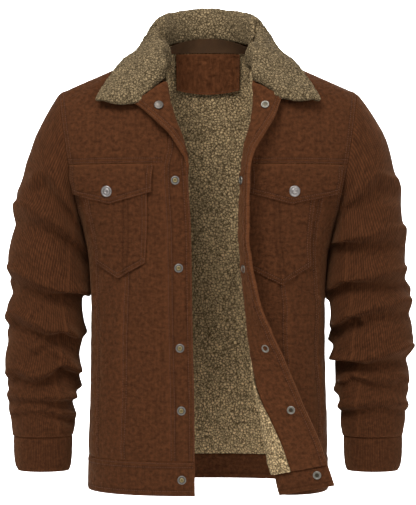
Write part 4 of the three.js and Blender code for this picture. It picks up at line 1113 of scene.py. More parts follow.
class JACKET_OT_fronts(Piece):
    """Makes the corduroy of both fronts: plackets, panels, yokes, facings and waistbands"""

    bl_idname = "jacket.fronts"
    bl_label = "Fronts"

    def execute(self, context):
        for side in SIDES:
            edge = lambda h, side=side: placket_edge(side, h)
            end = lambda h, side=side: front_end(side, h) - SEAM
            clear = lambda h: 1 if h > CHEST else 0
            parts = {
                "placket": (TOP - SEAM, lambda h: 0, lambda h: edge(h) - SEAM - clear(h), ("low", "high")),
                "front_panel": (CHEST - SEAM, lambda h: edge(h) + SEAM, lambda h: seam_at("inner", h) - SEAM,
                                ("high",)),
                "front_middle": (CHEST - SEAM, lambda h: seam_at("inner", h) + SEAM,
                                 lambda h: seam_at("outer", h) - SEAM, ("high",)),
                "front_side": (CHEST - SEAM, lambda h: seam_at("outer", h) + SEAM, end, ("high",)),
                "front_yoke": (TOP - SEAM, lambda h: edge(h) + SEAM, end, ("foot", "high")),
            }
            for name, (top, low, high, sewn) in parts.items():
                foot = CHEST + SEAM if name == "front_yoke" else BAND_TOP + SEAM
                s, h = front_grids(row_heights(foot, top, 3.5), low, high, 3.3)
                front_wall(name, side, s, h, SHELL, "corduroy", front_relief(side, s, h), None, sewn)
            heights = row_heights(INNER_BAND_FRONT + SEAM, TOP - LINING_SEAM, 4)
            s, h = front_grids(heights, lambda h: 0, lambda h: FACING_WIDTH - SEAM, 3)
            levels = (looser(FACING, side, h)[0], np.full(s.shape, SHELL[0] - 0.05))
            crown = (ripples(s - 2, h, 1.3, 12) + 1.8 * soft_noise(s, h, 13, 31)) * ease(s, 1, 6)
            front_wall("facing", side, s, h, levels, "facing", front_relief(side, s, h), crown, ("low",),
                       inward=True)
            self.waistband(side, end)
        return {"FINISHED"}

    def waistband(self, side, end):
        """The waistband of one front, thicker where its inner layer covers the foot of the lining."""
        heights = row_heights(HEM, BAND_TOP - SEAM, 3.5)
        s, h = front_grids(heights, lambda h: 0, end, 4)
        thick = 1 - ease(h, INNER_BAND_FRONT - 1, INNER_BAND_FRONT)
        inside = SHELL[0] + (FACING[0] - SHELL[0]) * thick
        crown = 0.5 * np.sin(math.pi * (h - HEM) / (BAND_TOP - HEM)) + 0.3 * soft_noise(s, h, 26, 21)
        levels = (inside, np.full(s.shape, WAISTBAND_OUT))
        front_wall("waistband", side, s, h, levels, "corduroy", None, crown, ("foot", "top"))


class JACKET_OT_back(Piece):
    """Makes the back: its panel, its waistband, the neck tape and the bare neck patch"""

    bl_idname = "jacket.back"
    bl_label = "Back"

    def execute(self, context):
        trim = SEAM / BACK_WIDTH
        shares = trim + (1 - 2 * trim) * spread(BACK_WIDTH, 4.5)
        self.piece("back_panel", row_heights(BAND_TOP + SEAM, TOP - SEAM, 4), shares, SHELL, "corduroy", 1)
        heights = row_heights(HEM, BAND_TOP - SEAM, 3.5)
        thick = 1 - ease(heights, INNER_BAND_BACK - 1, INNER_BAND_BACK)[:, None]
        inside = SHELL[0] + (BACK_BAND_IN - SHELL[0]) * thick
        self.piece("waistband_back", heights, shares, (inside, WAISTBAND_OUT), "corduroy", 0, ("foot", "top"))
        end = (1 - NECK_SHARE_BACK) / 2 + 0.01
        across = end + (1 - 2 * end) * spread(TAPE_WIDTH, 3)
        self.piece("neck_tape", np.linspace(TAPE_FOOT, TOP - SEAM, 12), across, TAPE, "tape", 0)
        end = 0.5 - PATCH_HALF_SHARE
        across = end + (1 - 2 * end) * spread(PATCH_SIZE[0], 3)
        foot = self.row_at(PATCH_FOOT)
        heights = foot + (TAPE_FOOT - 0.6 - foot) * spread(PATCH_SIZE[1], 3)
        self.piece("neck_patch", heights, across, PATCH, "corduroy", 0)
        return {"FINISHED"}

    def row_at(self, height):
        """The row whose middle lies at a true height."""
        rows = np.linspace(CHEST, TOP, 400)
        return float(np.interp(height, [back_row(row)["half"][0][2] for row in rows], rows))

    def piece(self, name, heights, shares, levels, slot, folds, sewn=()):
        """A piece of the back between two levels. The tape stands on over the neck seam."""
        frames = [back_frame(shares, h) for h in heights]
        point, normal, onward = (np.stack(parts) for parts in zip(*frames))
        if name == "neck_tape":
            rise = np.linspace(1.5, TAPE_RISE, 5)[:, None, None]
            point = np.concatenate([point, point[-1] + onward[-1] * rise])
            normal = np.concatenate([normal, normal[-1] + 0 * rise])
            heights = np.concatenate([heights, TOP + np.zeros(5)])
        edge = edge_distance(point)
        u = (shares[None, :] - 0.5) * np.array([back_row(h)["sums"][-1] for h in heights])[:, None]
        h = np.repeat(heights[:, None], len(shares), axis=1)
        lift = folds * 1.6 * soft_noise(u, h * 0.4, 90, 31) * ease(edge, 2, 30)
        outer = point + normal * (levels[1] + lift + rounded(edge) + seam_relief(point, sewn))[..., None]
        inner = point + normal * (levels[0] + lift)[..., None]
        sew("back", outer, normal, sewn)
        if name == "neck_patch":
            groove = seam_relief(point, ("low", "high", "foot"), PATCH_INSETS, 0.4)
            inner = point + normal * (levels[0] - groove)[..., None]
            sew("patch", inner, -normal, ("low", "high", "foot"), insets=PATCH_INSETS)
        grids = (outer, inner, np.stack([u, h], axis=-1))
        values = {"edge": wear_and_highlight(edge), "groove": stitch_groove_shade(point, sewn)}
        look = "patch" if name == "neck_patch" else slot
        cloth_piece(f"{name}_cloth", slot, "left", grids, values, point, [name], look)


def pile_wall(name, point, normal, ground, foot, side, slot, replaced, looks, seed, both=False):
    """A wall of pile: tufts stand on its inner side, or on both, over a ground between two levels."""
    across = np.linalg.norm(np.diff(point, axis=1), axis=2).mean(axis=0)
    up = np.linalg.norm(np.diff(point, axis=0), axis=2).mean(axis=1)
    u = np.concatenate([[0], np.cumsum(across)])[None, :] + np.zeros(point.shape[:2])
    v = np.concatenate([[0], np.cumsum(up)])[:, None] + np.zeros(point.shape[:2])
    tuft, tall = looks.tuft / MM, looks.tuft_height / MM
    height = curls(point, tuft, seed)
    edge = edge_distance(point)
    stands = height * ease(edge, -1, 2.5)
    inner = point + normal * (foot - tall * stands)[..., None]
    outer = point + normal * (ground + (tall * stands if both else rounded(edge)))[..., None]
    grids = (outer, inner, np.stack([u, v], axis=-1))
    cloth_piece(name, slot, side, grids, {"pile": height, "edge": wear_and_highlight(edge)}, point, replaced)


class JACKET_OT_lining(Piece):
    """Makes the pile lining of the back and of both fronts"""

    bl_idname = "jacket.lining"
    bl_label = "Lining"

    def execute(self, context):
        looks = context.scene.jacket_looks
        trim = LINING_SEAM / BACK_WIDTH
        shares = np.linspace(trim, 1 - trim, int(BACK_WIDTH / LINING_PITCH))
        frames = [back_frame(shares, h) for h in self.rows(INNER_BAND_BACK + SEAM)]
        point, normal = np.stack([f[0] for f in frames]), np.stack([f[1] for f in frames])
        pile_wall("lining_back_pile", point, normal, np.full(point.shape[:2], SHERPA[1]),
                  np.full(point.shape[:2], SHERPA[0]), "left", "sherpa", ["lining_back"], looks, 41)
        heights = self.rows(INNER_BAND_FRONT + SEAM)
        for side in SIDES:
            lows = np.array([FACING_WIDTH + (2.2 if h > CHEST else SEAM) for h in heights])
            highs = np.array([front_end(side, h) - LINING_SEAM for h in heights])
            steps = np.linspace(0, 1, int(float(np.mean(highs - lows)) / LINING_PITCH))
            s = lows[:, None] + (highs - lows)[:, None] * steps
            h = np.repeat(heights[:, None], len(steps), axis=1)
            point, normal = front_faces(side, s, h)
            levels = looser(SHERPA, side, h)
            pile_wall(f"lining_front_{side}_pile", point, normal, levels[1], levels[0], side, "sherpa",
                      [f"lining_front_{side}"], looks, 43)
        return {"FINISHED"}

    def rows(self, foot):
        """Heights of the lining's rows, the same distance apart below and above the chest."""
        count = lambda low, high, stretch: max(int((high - low) * stretch / LINING_PITCH), 2)
        below = np.linspace(foot, CHEST, count(foot, CHEST, 1))
        above = np.linspace(CHEST, TOP - LINING_SEAM, count(CHEST, TOP, YOKE_STRETCH))
        return np.concatenate([below, above[1:]])


def bezier(points, t):
    """Points of a cubic curve with four control points."""
    t = t[:, None]
    a, b, c, d = points
    return (1 - t) ** 3 * a + 3 * (1 - t) ** 2 * t * b + 3 * (1 - t) * t * t * c + t ** 3 * d


def resample(grid, rows, columns):
    """The same surface with other numbers of rows and columns, evenly apart along its mean lengths."""
    def stretch(cells, axis, count):
        steps = np.linalg.norm(np.diff(cells, axis=axis), axis=2).mean(axis=1 - axis)
        at = np.concatenate([[0], np.cumsum(steps)])
        wanted = np.linspace(0, at[-1], count)
        i = np.clip(np.searchsorted(at, wanted, side="right") - 1, 0, len(at) - 2)
        t = (wanted - at[i]) / (at[i + 1] - at[i])
        low, high = np.take(cells, i, axis=axis), np.take(cells, i + 1, axis=axis)
        t = t[:, None, None] if axis == 0 else t[None, :, None]
        return low * (1 - t) + high * t
    return stretch(stretch(grid, 0, rows), 1, columns)


class JACKET_OT_collar(Piece):
    """Makes the spread pile collar from its neck seam over the roll to its outer edge"""

    bl_idname = "jacket.collar"
    bl_label = "Collar"

    def execute(self, context):
        looks = context.scene.jacket_looks
        left = self.half("left")
        right = self.half("right") * (-1, 1, 1)
        sections = np.concatenate([left, right[::-1][1:]])
        grid = resample(sections.transpose(1, 0, 2), *COLLAR_GRID)
        normal = unit(np.cross(np.gradient(grid, axis=1), np.gradient(grid, axis=0)))
        j = np.arange(grid.shape[0])[:, None] + np.zeros(grid.shape[:2])
        reach = COLLAR_THICK / 2 * (0.8 + 0.35 * ease(j, 0, 6))
        edge = edge_distance(grid)
        reach = reach * (1 - 0.3 * np.exp(-edge / 1.4))
        pile_wall("collar_pile", grid, normal, reach, -reach, "left", "sherpa_collar", ["collar"], looks,
                  47, both=True)
        return {"FINISHED"}

    def seam(self, side):
        """Points, onward directions and depth of the neck seam from the front end to the back's middle."""
        row = front_row(side, TOP)
        neck_end = row["curl"] + lengths(row["body"][: int(FINE * NECK_SHARE_FRONT) + 1])[-1]
        s = np.concatenate([
            np.linspace(COLLAR_START, row["flap"], 6),
            np.linspace(row["flap"], row["curl"], 10)[1:],
            np.linspace(row["curl"], neck_end, 26)[1:],
        ])
        front = front_frame(side, s, TOP)
        depth = LAPEL_MIDDLE + (COLLAR_MIDDLE - LAPEL_MIDDLE) * s / neck_end
        share = 0.5 - NECK_SHARE_BACK / 2 * (1 - np.linspace(0, 1, 26)[1:])
        back = back_frame(share, TOP)
        joined = [np.concatenate([a, b]) for a, b in zip(front, back)]
        return joined, np.concatenate([depth, np.full(len(share), COLLAR_MIDDLE)])

    def half(self, side):
        """Cross sections of one half of the collar, from its front end to the back's middle."""
        (point, normal, onward), depth = self.seam(side)
        sums = lengths(point)
        share = sums / sums[-1]
        value = {name: track(COLLAR, "share", name, share) for name in COLLAR}
        rise = COLLAR_RISE - (COLLAR_RISE - COLLAR_RISE_BACK) * ease(share, 0.55, 0.75)
        rise = rise - (COLLAR_RISE - COLLAR_RISE_FRONT) * (1 - ease(share, 0.1, 0.24))
        seam = point + normal * depth[:, None] + onward * rise[:, None]
        roll = seam + np.stack([value["roll_x"], value["roll_y"], value["roll_z"]], axis=-1)
        edge = np.stack([value["edge_x"], value["edge_y"], value["edge_z"]], axis=-1)
        out = unit((edge - seam) * (1, 1, 0))
        stand = np.linalg.norm(roll - seam, axis=1)[:, None]
        fall = np.linalg.norm(edge - roll, axis=1)[:, None]
        upward = unit(onward + (0, 0, 1.2))
        up_end = seam + upward * stand * 0.55
        over_start = roll - out * np.minimum(stand * 0.25, 9)
        puff = 0.33 - 0.2 * ease(share, 0.34, 0.5) * (1 - ease(share, 0.84, 1))
        over_end = roll + out * fall * puff[:, None]
        edge_start = edge - unit(edge - roll) * fall * 0.3 + out * 4
        t_up, t_over = np.linspace(0, 1, 22), np.linspace(0, 1, 46)[1:]
        sections = []
        for i in range(len(seam)):
            up = bezier((seam[i], up_end[i], over_start[i], roll[i]), t_up)
            over = bezier((roll[i], over_end[i], edge_start[i], edge[i]), t_over)
            sections.append(np.concatenate([up, over]))
        # The front end hangs in a soft curve below its seam and its tip, onto the lapel and the yoke.
        share = np.linspace(0, 1, len(sections[0]))
        fallen = 1.05 * (1 - ease(share, 0.55, 0.95)) + 0.36 * np.sin(math.pi * share) ** 1.2 + 0.1
        hang = np.outer(COLLAR_END * fallen, (0, -0.3, -1))
        ends = [sections[0] + hang * k for k in (1, 0.75, 0.5, 0.25)]
        return np.stack(ends + sections)


def patch_grid(shape, across_steps, up_steps):
    """Distances and heights of a patch with a pointed foot."""
    across, up = np.meshgrid(across_steps, up_steps)
    pointed = 1 - np.abs(2 * across - 1)
    foot = shape["corner"] + (shape["point"] - shape["corner"]) * pointed
    h = foot + (shape["top"] - foot) * up
    low = shape["in_foot"] + (shape["in_top"] - shape["in_foot"]) * up
    high = shape["out_foot"] + (shape["out_top"] - shape["out_foot"]) * up
    return low + (high - low) * across, h


def scattered_faces(side, s, h):
    """Frames of a front at points whose heights vary along a row."""
    point, normal = np.empty(s.shape + (3,)), np.empty(s.shape + (3,))
    for i in range(s.shape[0]):
        for j in range(s.shape[1]):
            p, n, _ = front_frame(side, s[i, j:j + 1], round(h[i, j], 1))
            point[i, j], normal[i, j] = p[0], n[0]
    return point, normal


class JACKET_OT_pockets(Piece):
    """Makes the patch pockets and their pointed flaps"""

    bl_idname = "jacket.pockets"
    bl_label = "Pockets"

    def execute(self, context):
        for side in SIDES:
            s, h = patch_grid(POCKET_SHAPE[side], spread(POCKET_SIZE[0], 2.4), spread(POCKET_SIZE[1], 3))
            crown = 1.2 * soft_noise(s, h * 0.6, 44, 51) + 0.7 * soft_noise(s, h, 17, 52)
            lines = np.zeros(s.shape)
            for name in ("inner", "outer"):
                seam = track(PANEL_SEAMS, "height", name, h)
                near = np.abs(s - seam)
                ripple = (1 + np.sin(h / 1.5 + 2 * np.sin(h / 13))) * np.exp(-near / 9)
                crown += 0.55 * ripple - 1.3 * np.exp(-((s - seam - 1) / 1.8) ** 2)
                crown += 0.8 * ease(seam - s, 1, 3) * (1 - ease(seam - s, 7, 9))
                # Painted shade in the stitch grooves of the panel seams that run on through the pocket.
                for inset in (-1, 7):
                    lines = np.maximum(lines, np.exp(-((s - seam + inset) / 1.3) ** 2))
            self.patch("pocket", side, s, h, POCKET, crown, lines)
            s, h = patch_grid(FLAP_SHAPE[side], spread(FLAP_SIZE[0], 3), spread(FLAP_SIZE[1], 3))
            sewn = ease(h, POCKET_SHAPE[side]["top"] + 6, FLAP_SHAPE[side]["top"]) * FLAP_SEWN
            crown = 1.2 * soft_noise(s, h, 32, 53) * (1 - ease(h, CHEST - 20, CHEST - 4))
            self.patch("flap", side, s, h, (FLAP[0] - sewn, FLAP[1] - sewn), crown, np.zeros(s.shape))
        return {"FINISHED"}

    def patch(self, name, side, s, h, levels, crown, lines):
        """A pocket or a flap over the cloth of its front, sewn along its sides and its foot."""
        point, normal = scattered_faces(side, s, h)
        lift = np.array([front_relief(side, s[i:i + 1].T, h[i:i + 1].T)[:, 0] for i in range(len(s))])
        edge = edge_distance(point)
        sewn = ("low", "high", "foot")
        face = levels[1] + lift + crown + rounded(edge, 1.0, 1.8) + seam_relief(point, sewn)
        outer = point + normal * face[..., None]
        inner = point + normal * (levels[0] + lift)[..., None]
        sew(f"front_{side}", outer, normal, sewn, side)
        grids = (outer, inner, np.stack([s, h], axis=-1))
        values = {"edge": wear_and_highlight(edge), "groove": np.maximum(stitch_groove_shade(point, sewn), lines)}
        node = f"{name}_{side}"
        cloth_piece(f"{node}_cloth", "corduroy", side, grids, values, point, [node])


def fold_depth(side, x, z, facing):
    """How far the folds push a point of a sleeve in, by its distance from each trough."""
    folds = FOLDS[side]
    depth = np.zeros(x.shape)
    for i in range(len(folds["depth"])):
        corners = [(folds["x%d" % k][i], folds["z%d" % k][i]) for k in range(3)]
        near = np.full(x.shape, 1e9)
        above = np.zeros(x.shape)
        for a, b in zip(corners, corners[1:]):
            dx, dz = b[0] - a[0], b[1] - a[1]
            share = np.clip(((x - a[0]) * dx + (z - a[1]) * dz) / (dx * dx + dz * dz), 0, 1)
            gap = np.hypot(x - a[0] - dx * share, z - a[1] - dz * share)
            above = np.where(gap < near, z - a[1] - dz * share, above)
            near = np.minimum(near, gap)
        seen = ease(facing * folds["face"][i], -0.3, 0.35)
        # The cloth hangs over a trough from above and leaves it slowly below.
        lean = ease(above / folds["width"][i], -0.5, 0.5)
        across = near / folds["width"][i]
        trough = 1.25 * np.exp(-(across / (1.75 - 0.95 * lean)) ** 2)
        roll = 0.75 * lean * np.exp(-((across - 1.45) / 0.7) ** 2)
        inward = ease((corners[0][0] - x) / (corners[0][0] - corners[2][0]), 0.2, 1)
        depth += seen * folds["depth"][i] * (trough - roll) * (1.3 + 0.55 * inward)
    beside_body = np.exp(-(facing / 0.2) ** 2) * (x < 225) * ease(z, -402, -384)
    return depth * (1 - beside_body)


def sleeve_faces(side, share, angle):
    """Outer points of a sleeve and the way in, for a grid of shares along it and angles round it."""
    top, foot = armhole(np.array(0.0)), armhole(np.array(math.pi))
    out_z = top[2] + (CUFF_TOP - top[2]) * share
    in_z = foot[2] + (CUFF_TOP - foot[2]) * share
    y = track(SLEEVE_SECTIONS, "share", "y", share)
    half = track(SLEEVE_SECTIONS, "share", "half", share)
    outside = np.stack([track(SLEEVE_OUTER[side], "height", "x", out_z), y, out_z], axis=-1)
    inside = np.stack([track(SLEEVE_INNER[side], "height", "x", in_z), y, in_z], axis=-1)
    middle, reach = (outside + inside) / 2, (outside - inside) / 2
    ring = middle + reach * np.cos(angle)[..., None]
    ring[..., 1] -= half * np.sin(angle)
    keep = (1 - ease(share, 0, 0.12))[..., None]
    point = ring + (armhole(angle) - ring) * keep
    centre = middle + ((top + foot) / 2 - middle) * keep
    spoke = unit(point - centre)
    away = ease(share, 0.01, 0.12) * (1 - ease(share, 0.93, 1))
    depth = away * fold_depth(side, point[..., 0], point[..., 2], -np.sin(angle))
    wrinkles = soft_noise(angle * 22, share * 500, 44, 61 if side == "right" else 62) - 0.5
    depth += away * WRINKLE * wrinkles * (1 - np.exp(-((angle - math.pi) / 0.5) ** 2))
    gap = np.array((0.4, 0, 0))
    return point + gap - spoke * depth[..., None], spoke


class JACKET_OT_sleeves(Piece):
    """Makes the upper and under sleeves with their folds, and the cuffs"""

    bl_idname = "jacket.sleeves"
    bl_label = "Sleeves"

    def execute(self, context):
        for side in SIDES:
            low, high = UNDERSLEEVE
            self.piece(f"sleeve_top_{side}", side, high - 360, low, SLEEVE_TOP_WIDTH)
            self.piece(f"sleeve_under_{side}", side, low, high, SLEEVE_UNDER_WIDTH)
            self.cuff(side)
        return {"FINISHED"}

    def piece(self, name, side, start, stop, width):
        """A piece of a sleeve between two angles, a hair's breadth clear of its neighbour."""
        hair = 0.14
        share = spread(SLEEVE_LENGTH, 3.7)
        degrees = start + hair + (stop - start - 2 * hair) * spread(width, 4)
        grid_share, angle = np.meshgrid(share, np.radians(degrees), indexing="ij")
        point, spoke = sleeve_faces(side, grid_share, angle)
        self.close(name, side, point, spoke, angle, grid_share * SLEEVE_LENGTH)

    def cuff(self, side):
        """The band of a cuff, open by a hair's breadth at its seam."""
        height = CUFF_TOP - CUFF_GAP + (CUFF_FOOT - CUFF_TOP + CUFF_GAP) * spread(CUFF_SIZE[1], 3.4)
        degrees = CUFF_SEAM + 0.3 + 359.4 * spread(CUFF_SIZE[0], 4)
        h, angle = np.meshgrid(height, np.radians(degrees), indexing="ij")
        at = {name: track(CUFF_ROWS, "height", name, h) for name in CUFF_ROWS}
        centre = np.stack([(at["outer"] + at["inner"]) / 2, at["y"], h], axis=-1)
        wide = (at["outer"] - at["inner"]) / 2
        spoke = np.stack([wide * np.cos(angle), -at["half"] * np.sin(angle), np.zeros(h.shape)], axis=-1)
        self.close(f"cuff_{side}", side, centre + spoke, unit(spoke), angle, -h)

    def close(self, name, side, point, spoke, angle, length):
        """Makes the closed wall of a piece of a sleeve from its outer points."""
        edge = edge_distance(point)
        outer = point + spoke * rounded(edge)[..., None]
        inner = point - spoke * SLEEVE_WALL
        uv = np.stack([angle * SLEEVE_RADIUS, -length], axis=-1)
        grids = [grid[::-1] for grid in (outer, inner, uv)]
        values = {"edge": wear_and_highlight(edge)[::-1]}
        cloth_piece(f"{name}_cloth", "corduroy_wide", side, grids, values, point, [name])


class JACKET_OT_stitching(Piece):
    """Sews the lines of stitches that the pieces of cloth asked for"""

    bl_idname = "jacket.stitching"
    bl_label = "Stitching"

    def execute(self, context):
        sewing = context.scene.jacket_sewing
        step = (sewing.stitch + sewing.gap) / MM
        deselect()
        bpy.ops.mesh.primitive_ico_sphere_add(subdivisions=1, radius=1, location=(0, 0, 0))
        one = bpy.context.object
        shape = np.array([v.co[:] for v in one.data.vertices])
        faces = np.array([f.vertices[:] for f in one.data.polygons])
        bpy.ops.object.delete()
        size = np.array((sewing.stitch / MM / 2, sewing.thread / MM / 2, sewing.thread / MM / 2))
        for group, lines in SEWING.items():
            points = []
            for line, up in lines:
                sums = lengths(line)
                places = np.arange(2 + step / 2, sums[-1] - 2, step)
                ahead = along(line, sums, places + 0.5) - along(line, sums, places - 0.5)
                x = unit(ahead)
                z = unit(along(up, sums, places))
                y = unit(np.cross(z, x))
                local = shape * size
                spots = along(line, sums, places) + z * size[2] * 0.4
                points.append(spots[:, None, :] + local[None, :, 0:1] * x[:, None, :]
                              + local[None, :, 1:2] * y[:, None, :] + local[None, :, 2:3] * z[:, None, :])
            points = np.concatenate(points)
            count = len(points)
            mesh = bpy.data.meshes.new("stitches")
            cells = (faces[None] + (np.arange(count) * len(shape))[:, None, None]).reshape(-1, 3)
            mesh.from_pydata((points.reshape(-1, 3) * MM).tolist(), [], cells.tolist())
            stitches = bpy.data.objects.new("stitches", mesh)
            context.collection.objects.link(stitches)
            deselect()
            stitches.select_set(True)
            context.view_layer.objects.active = stitches
            bpy.ops.object.shade_smooth()
            finish_piece(stitches, f"stitching_{group}", material_for("stitch"), None)
        return {"FINISHED"}


# Turned profiles of the metal parts, as radius and height. The last point closes the middle.
TURNED = {
    "stud": ((6.8, 0), (6.8, 0.6), (6.4, 1.05), (5.6, 1.2), (5.0, 1.0), (4.6, 0.55), (3.9, 0.5), (3.5, 0.9),
             (3.4, 2.6), (3.1, 3.05), (2.7, 3.2), (2.2, 3.0), (2.0, 2.2), (1.8, 1.0), (0.3, 1.0)),
    "socket": ((6.4, 0), (6.4, 1.1), (6.1, 1.6), (5.4, 1.8), (4.7, 1.7), (4.2, 1.3), (3.9, 0.8), (3.6, 1.1),
               (3.1, 1.1), (2.8, 0.6), (2.6, 0.35), (0.3, 0.35)),
    "cap": ((7.4, 0), (7.4, 0.5), (7.2, 1.0), (6.7, 1.4), (6.0, 1.55), (5.4, 1.5), (4.6, 1.7), (3.0, 2.0),
            (0.3, 2.1)),
    "button": ((3.4, 0), (3.4, 1.4), (8.3, 1.6), (8.8, 2.0), (8.8, 2.7), (8.4, 3.3), (7.6, 3.7), (6.9, 3.5),
               (6.3, 3.1), (5.2, 3.1), (4.6, 3.4), (4.2, 4.1), (3.6, 4.5), (2.8, 4.5), (2.2, 4.1), (1.8, 3.8),
               (0.3, 3.8)),
}


def turned_part(kind):
    """A round metal part modelled from a disc by extruding and scaling its face ring by ring."""
    profile = TURNED[kind]
    deselect()
    foot = profile[0][0]
    bpy.ops.mesh.primitive_circle_add(vertices=28, radius=foot * MM, fill_type="NGON", location=(0, 0, 0))
    part = bpy.context.object
    bpy.ops.object.mode_set(mode="EDIT")
    bpy.ops.mesh.select_mode(type="FACE")
    for (before, low), (radius, high) in zip(profile, profile[1:]):
        bpy.ops.mesh.extrude_region_move(TRANSFORM_OT_translate={"value": (0, 0, (high - low) * MM)})
        scale = radius / before
        bpy.ops.transform.resize(value=(scale, scale, 1), center_override=(0, 0, high * MM))
    bpy.ops.mesh.select_all(action="SELECT")
    bpy.ops.mesh.normals_make_consistent(inside=False)
    bpy.ops.object.mode_set(mode="OBJECT")
    bpy.ops.object.shade_smooth_by_angle(angle=math.radians(50))
    reach = np.array([math.hypot(v.co.x, v.co.y) for v in part.data.vertices]) / (foot * MM)
    rise = np.array([v.co.z for v in part.data.vertices]) / (max(z for _, z in profile) * MM)
    for label, value in (("reach", reach), ("rise", rise)):
        layer = part.data.attributes.new(label, "FLOAT", "POINT")
        layer.data.foreach_set("value", np.clip(value, 0, 1))
    return part


class JACKET_OT_snaps(Piece):
    """Makes the studs, the sockets, their caps and the two pocket buttons"""

    bl_idname = "jacket.snaps"
    bl_label = "Snaps and buttons"

    def execute(self, context):
        self.parts = {kind: turned_part(kind) for kind in TURNED}
        across, row = LAPEL_SNAP
        self.place("stud_1", "stud", "snap_stud", "right", across, row, 1)
        self.place("stud_back_1", "cap", "snap_cap", "right", across, row, -1)
        self.place("socket_1", "socket", "snap_socket", "left", across, row, -1)
        self.place("cap_1", "cap", "snap_cap", "left", across, row, 1)
        for i, height in enumerate(STUD_HEIGHTS):
            self.place(f"stud_{i + 2}", "stud", "snap_stud", "right", SNAP_INSET, height, 1)
        for i, height in enumerate(SOCKET_HEIGHTS):
            self.place(f"socket_{i + 2}", "socket", "snap_socket", "left", SNAP_INSET, height, -1)
            self.place(f"cap_{i + 2}", "cap", "snap_cap", "left", SNAP_INSET, height, 1)
        for side in SIDES:
            middle = (FLAP_SHAPE[side]["in_top"] + FLAP_SHAPE[side]["out_top"]) / 2
            self.place(f"button_{side}", "button", "button", side, middle, BUTTON_HEIGHT, 1)
        deselect()
        for part in self.parts.values():
            part.select_set(True)
        bpy.ops.object.delete()
        return {"FINISHED"}

    def place(self, node, kind, slot, side, across, height, face):
        """Copies a turned part to the middle of its solid, square to the cloth that carries it."""
        point, normal, _ = front_frame(side, np.array([float(across)]), height)
        mirror = Vector((-1, 1, 1)) if side == "right" else Vector((1, 1, 1))
        axis = Vector(normal[0] * face) * mirror
        low, high = (Vector(corner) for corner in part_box(node))
        tall = max(z for _, z in TURNED[kind]) * MM
        centre = (low + high) / 2
        if height > CHEST:
            # On a lapel it stands on the cloth as it is drawn here.
            level = SHELL[1] if face > 0 else looser(FACING, side, height)[0] - SNAP_CLEAR
            centre = (Vector(point[0] + normal[0] * level) * mirror) * MM + axis * tall / 2
        deselect()
        source = self.parts[kind]
        source.select_set(True)
        bpy.context.view_layer.objects.active = source
        bpy.ops.object.duplicate()
        copy = bpy.context.object
        turn = axis.to_track_quat("Z", "Y").to_matrix().to_4x4()
        turn.translation = centre - axis * tall / 2
        copy.data.transform(turn)
        finish_piece(copy, f"{node}_metal", material_for(slot), [node])


# Stage, in metres: the floor and its backdrop, the lamps (name, place, target, width, power) and the eye.
FLOOR_SIZE = 30
FLOOR_PLACE = (0, -3, -1.45)
BACKDROP_HEIGHT = 14
LAMPS = (
    ("Key", (-0.9, -2.3, 2.3), (0, 0, -0.3), 1.3, 95),
    ("Fill", (1.8, -2.6, 0.9), (0, 0, -0.3), 1.6, 26),
    ("Backdrop", (0, 7, 4.5), (0, 12, 0), 5.0, 1600),
    ("Rear", (1.4, 3.0, 1.5), (0, 0, -0.3), 1.8, 34),
)
EYE_DISTANCE = 3.0
EYE_HEIGHT = -0.324
SEEN_HEIGHT = 0.808
SENSOR_HEIGHT = 36


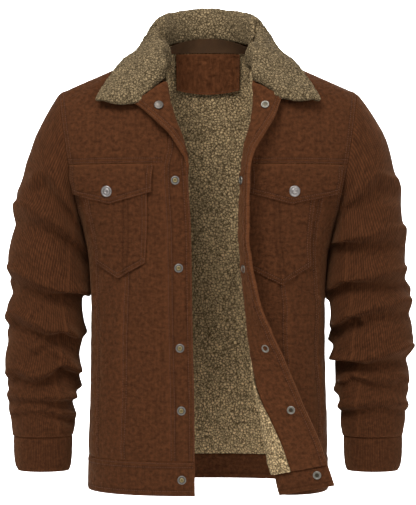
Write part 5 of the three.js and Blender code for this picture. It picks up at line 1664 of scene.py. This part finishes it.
class JACKET_OT_stage(Piece):
    """Makes the pale floor with its backdrop, the soft lights and the camera of the photograph's view"""

    bl_idname = "jacket.stage"
    bl_label = "Stage"

    def execute(self, context):
        self.floor()
        self.lights(context.scene)
        self.camera(context.scene)
        return {"FINISHED"}

    def floor(self):
        deselect()
        bpy.ops.mesh.primitive_plane_add(size=FLOOR_SIZE, location=FLOOR_PLACE)
        floor = bpy.context.object
        bpy.ops.object.mode_set(mode="EDIT")
        bpy.ops.mesh.select_mode(type="EDGE")
        bpy.ops.mesh.select_all(action="DESELECT")
        bpy.ops.object.mode_set(mode="OBJECT")
        points = floor.data.vertices
        for edge in floor.data.edges:
            edge.select = all(points[i].co.y > 0.49 * FLOOR_SIZE for i in edge.vertices)
        bpy.ops.object.mode_set(mode="EDIT")
        bpy.ops.mesh.extrude_region_move(TRANSFORM_OT_translate={"value": (0, 0, BACKDROP_HEIGHT)})
        bpy.ops.mesh.select_all(action="SELECT")
        bpy.ops.object.mode_set(mode="OBJECT")
        sweep = floor.modifiers.new("sweep", "BEVEL")
        sweep.width = 2.2
        sweep.segments = 14
        bpy.ops.object.modifier_apply(modifier=sweep.name)
        bpy.ops.object.shade_smooth()
        bpy.ops.object.transform_apply(location=True, rotation=True, scale=True)
        material, tree, surface = new_material("Pale floor")
        where = object_place(tree)
        mottle = noise(tree, where, 2.0)
        tone = mix_colour(tree, mottle.outputs["Fac"], (0.9, 0.9, 0.9, 1), (0.93, 0.93, 0.93, 1))
        set_surface(surface, tone, {"Roughness": 0.9})
        floor.name = "studio_floor"
        floor.data.materials.append(material)

    def lights(self, scene):
        world = bpy.data.worlds.new("Studio")
        world.use_nodes = True
        background = world.node_tree.nodes["Background"]
        background.inputs["Color"].default_value = (1, 1, 1, 1)
        background.inputs["Strength"].default_value = 0.45
        scene.world = world
        for name, place, target, width, power in LAMPS:
            deselect()
            bpy.ops.object.light_add(type="AREA", location=place)
            lamp = bpy.context.object
            lamp.name = name
            lamp.data.size = width
            lamp.data.energy = power
            lamp.rotation_euler = (Vector(target) - lamp.location).to_track_quat("-Z", "Y").to_euler()

    def camera(self, scene):
        deselect()
        bpy.ops.object.camera_add(location=(0, -EYE_DISTANCE, EYE_HEIGHT), rotation=(math.pi / 2, 0, 0))
        camera = bpy.context.object
        camera.name = "Photograph"
        camera.data.sensor_fit = "VERTICAL"
        camera.data.sensor_height = SENSOR_HEIGHT
        camera.data.lens = SENSOR_HEIGHT * EYE_DISTANCE / SEEN_HEIGHT
        scene.camera = camera
        scene.view_settings.view_transform = "Standard"


OPERATORS = (JACKET_OT_fronts, JACKET_OT_back, JACKET_OT_lining, JACKET_OT_collar, JACKET_OT_pockets,
             JACKET_OT_sleeves, JACKET_OT_stitching, JACKET_OT_snaps, JACKET_OT_stage)


class JACKET_PT_sidebar(bpy.types.Panel):
    """Lists the jacket's pieces, looks and sewing in the sidebar"""

    bl_label = "Jacket"
    bl_idname = "JACKET_PT_sidebar"
    bl_space_type = "VIEW_3D"
    bl_region_type = "UI"
    bl_category = "Jacket"

    def draw(self, context):
        for group in (context.scene.jacket_looks, context.scene.jacket_sewing):
            for name in group.bl_rna.properties.keys()[2:]:
                self.layout.prop(group, name)
        for operator in OPERATORS:
            self.layout.operator(operator.bl_idname)


CLASSES = (JACKET_PG_looks, JACKET_PG_sewing) + OPERATORS + (JACKET_PT_sidebar,)


def register():
    for kind in CLASSES:
        bpy.utils.register_class(kind)
    bpy.types.Scene.jacket_looks = bpy.props.PointerProperty(type=JACKET_PG_looks)
    bpy.types.Scene.jacket_sewing = bpy.props.PointerProperty(type=JACKET_PG_sewing)


def unregister():
    del bpy.types.Scene.jacket_sewing
    del bpy.types.Scene.jacket_looks
    for kind in reversed(CLASSES):
        bpy.utils.unregister_class(kind)


def main():
    register()
    for operator in OPERATORS:
        group, name = operator.bl_idname.split(".")
        getattr(getattr(bpy.ops, group), name)()


if __name__ == "__main__":
    main()
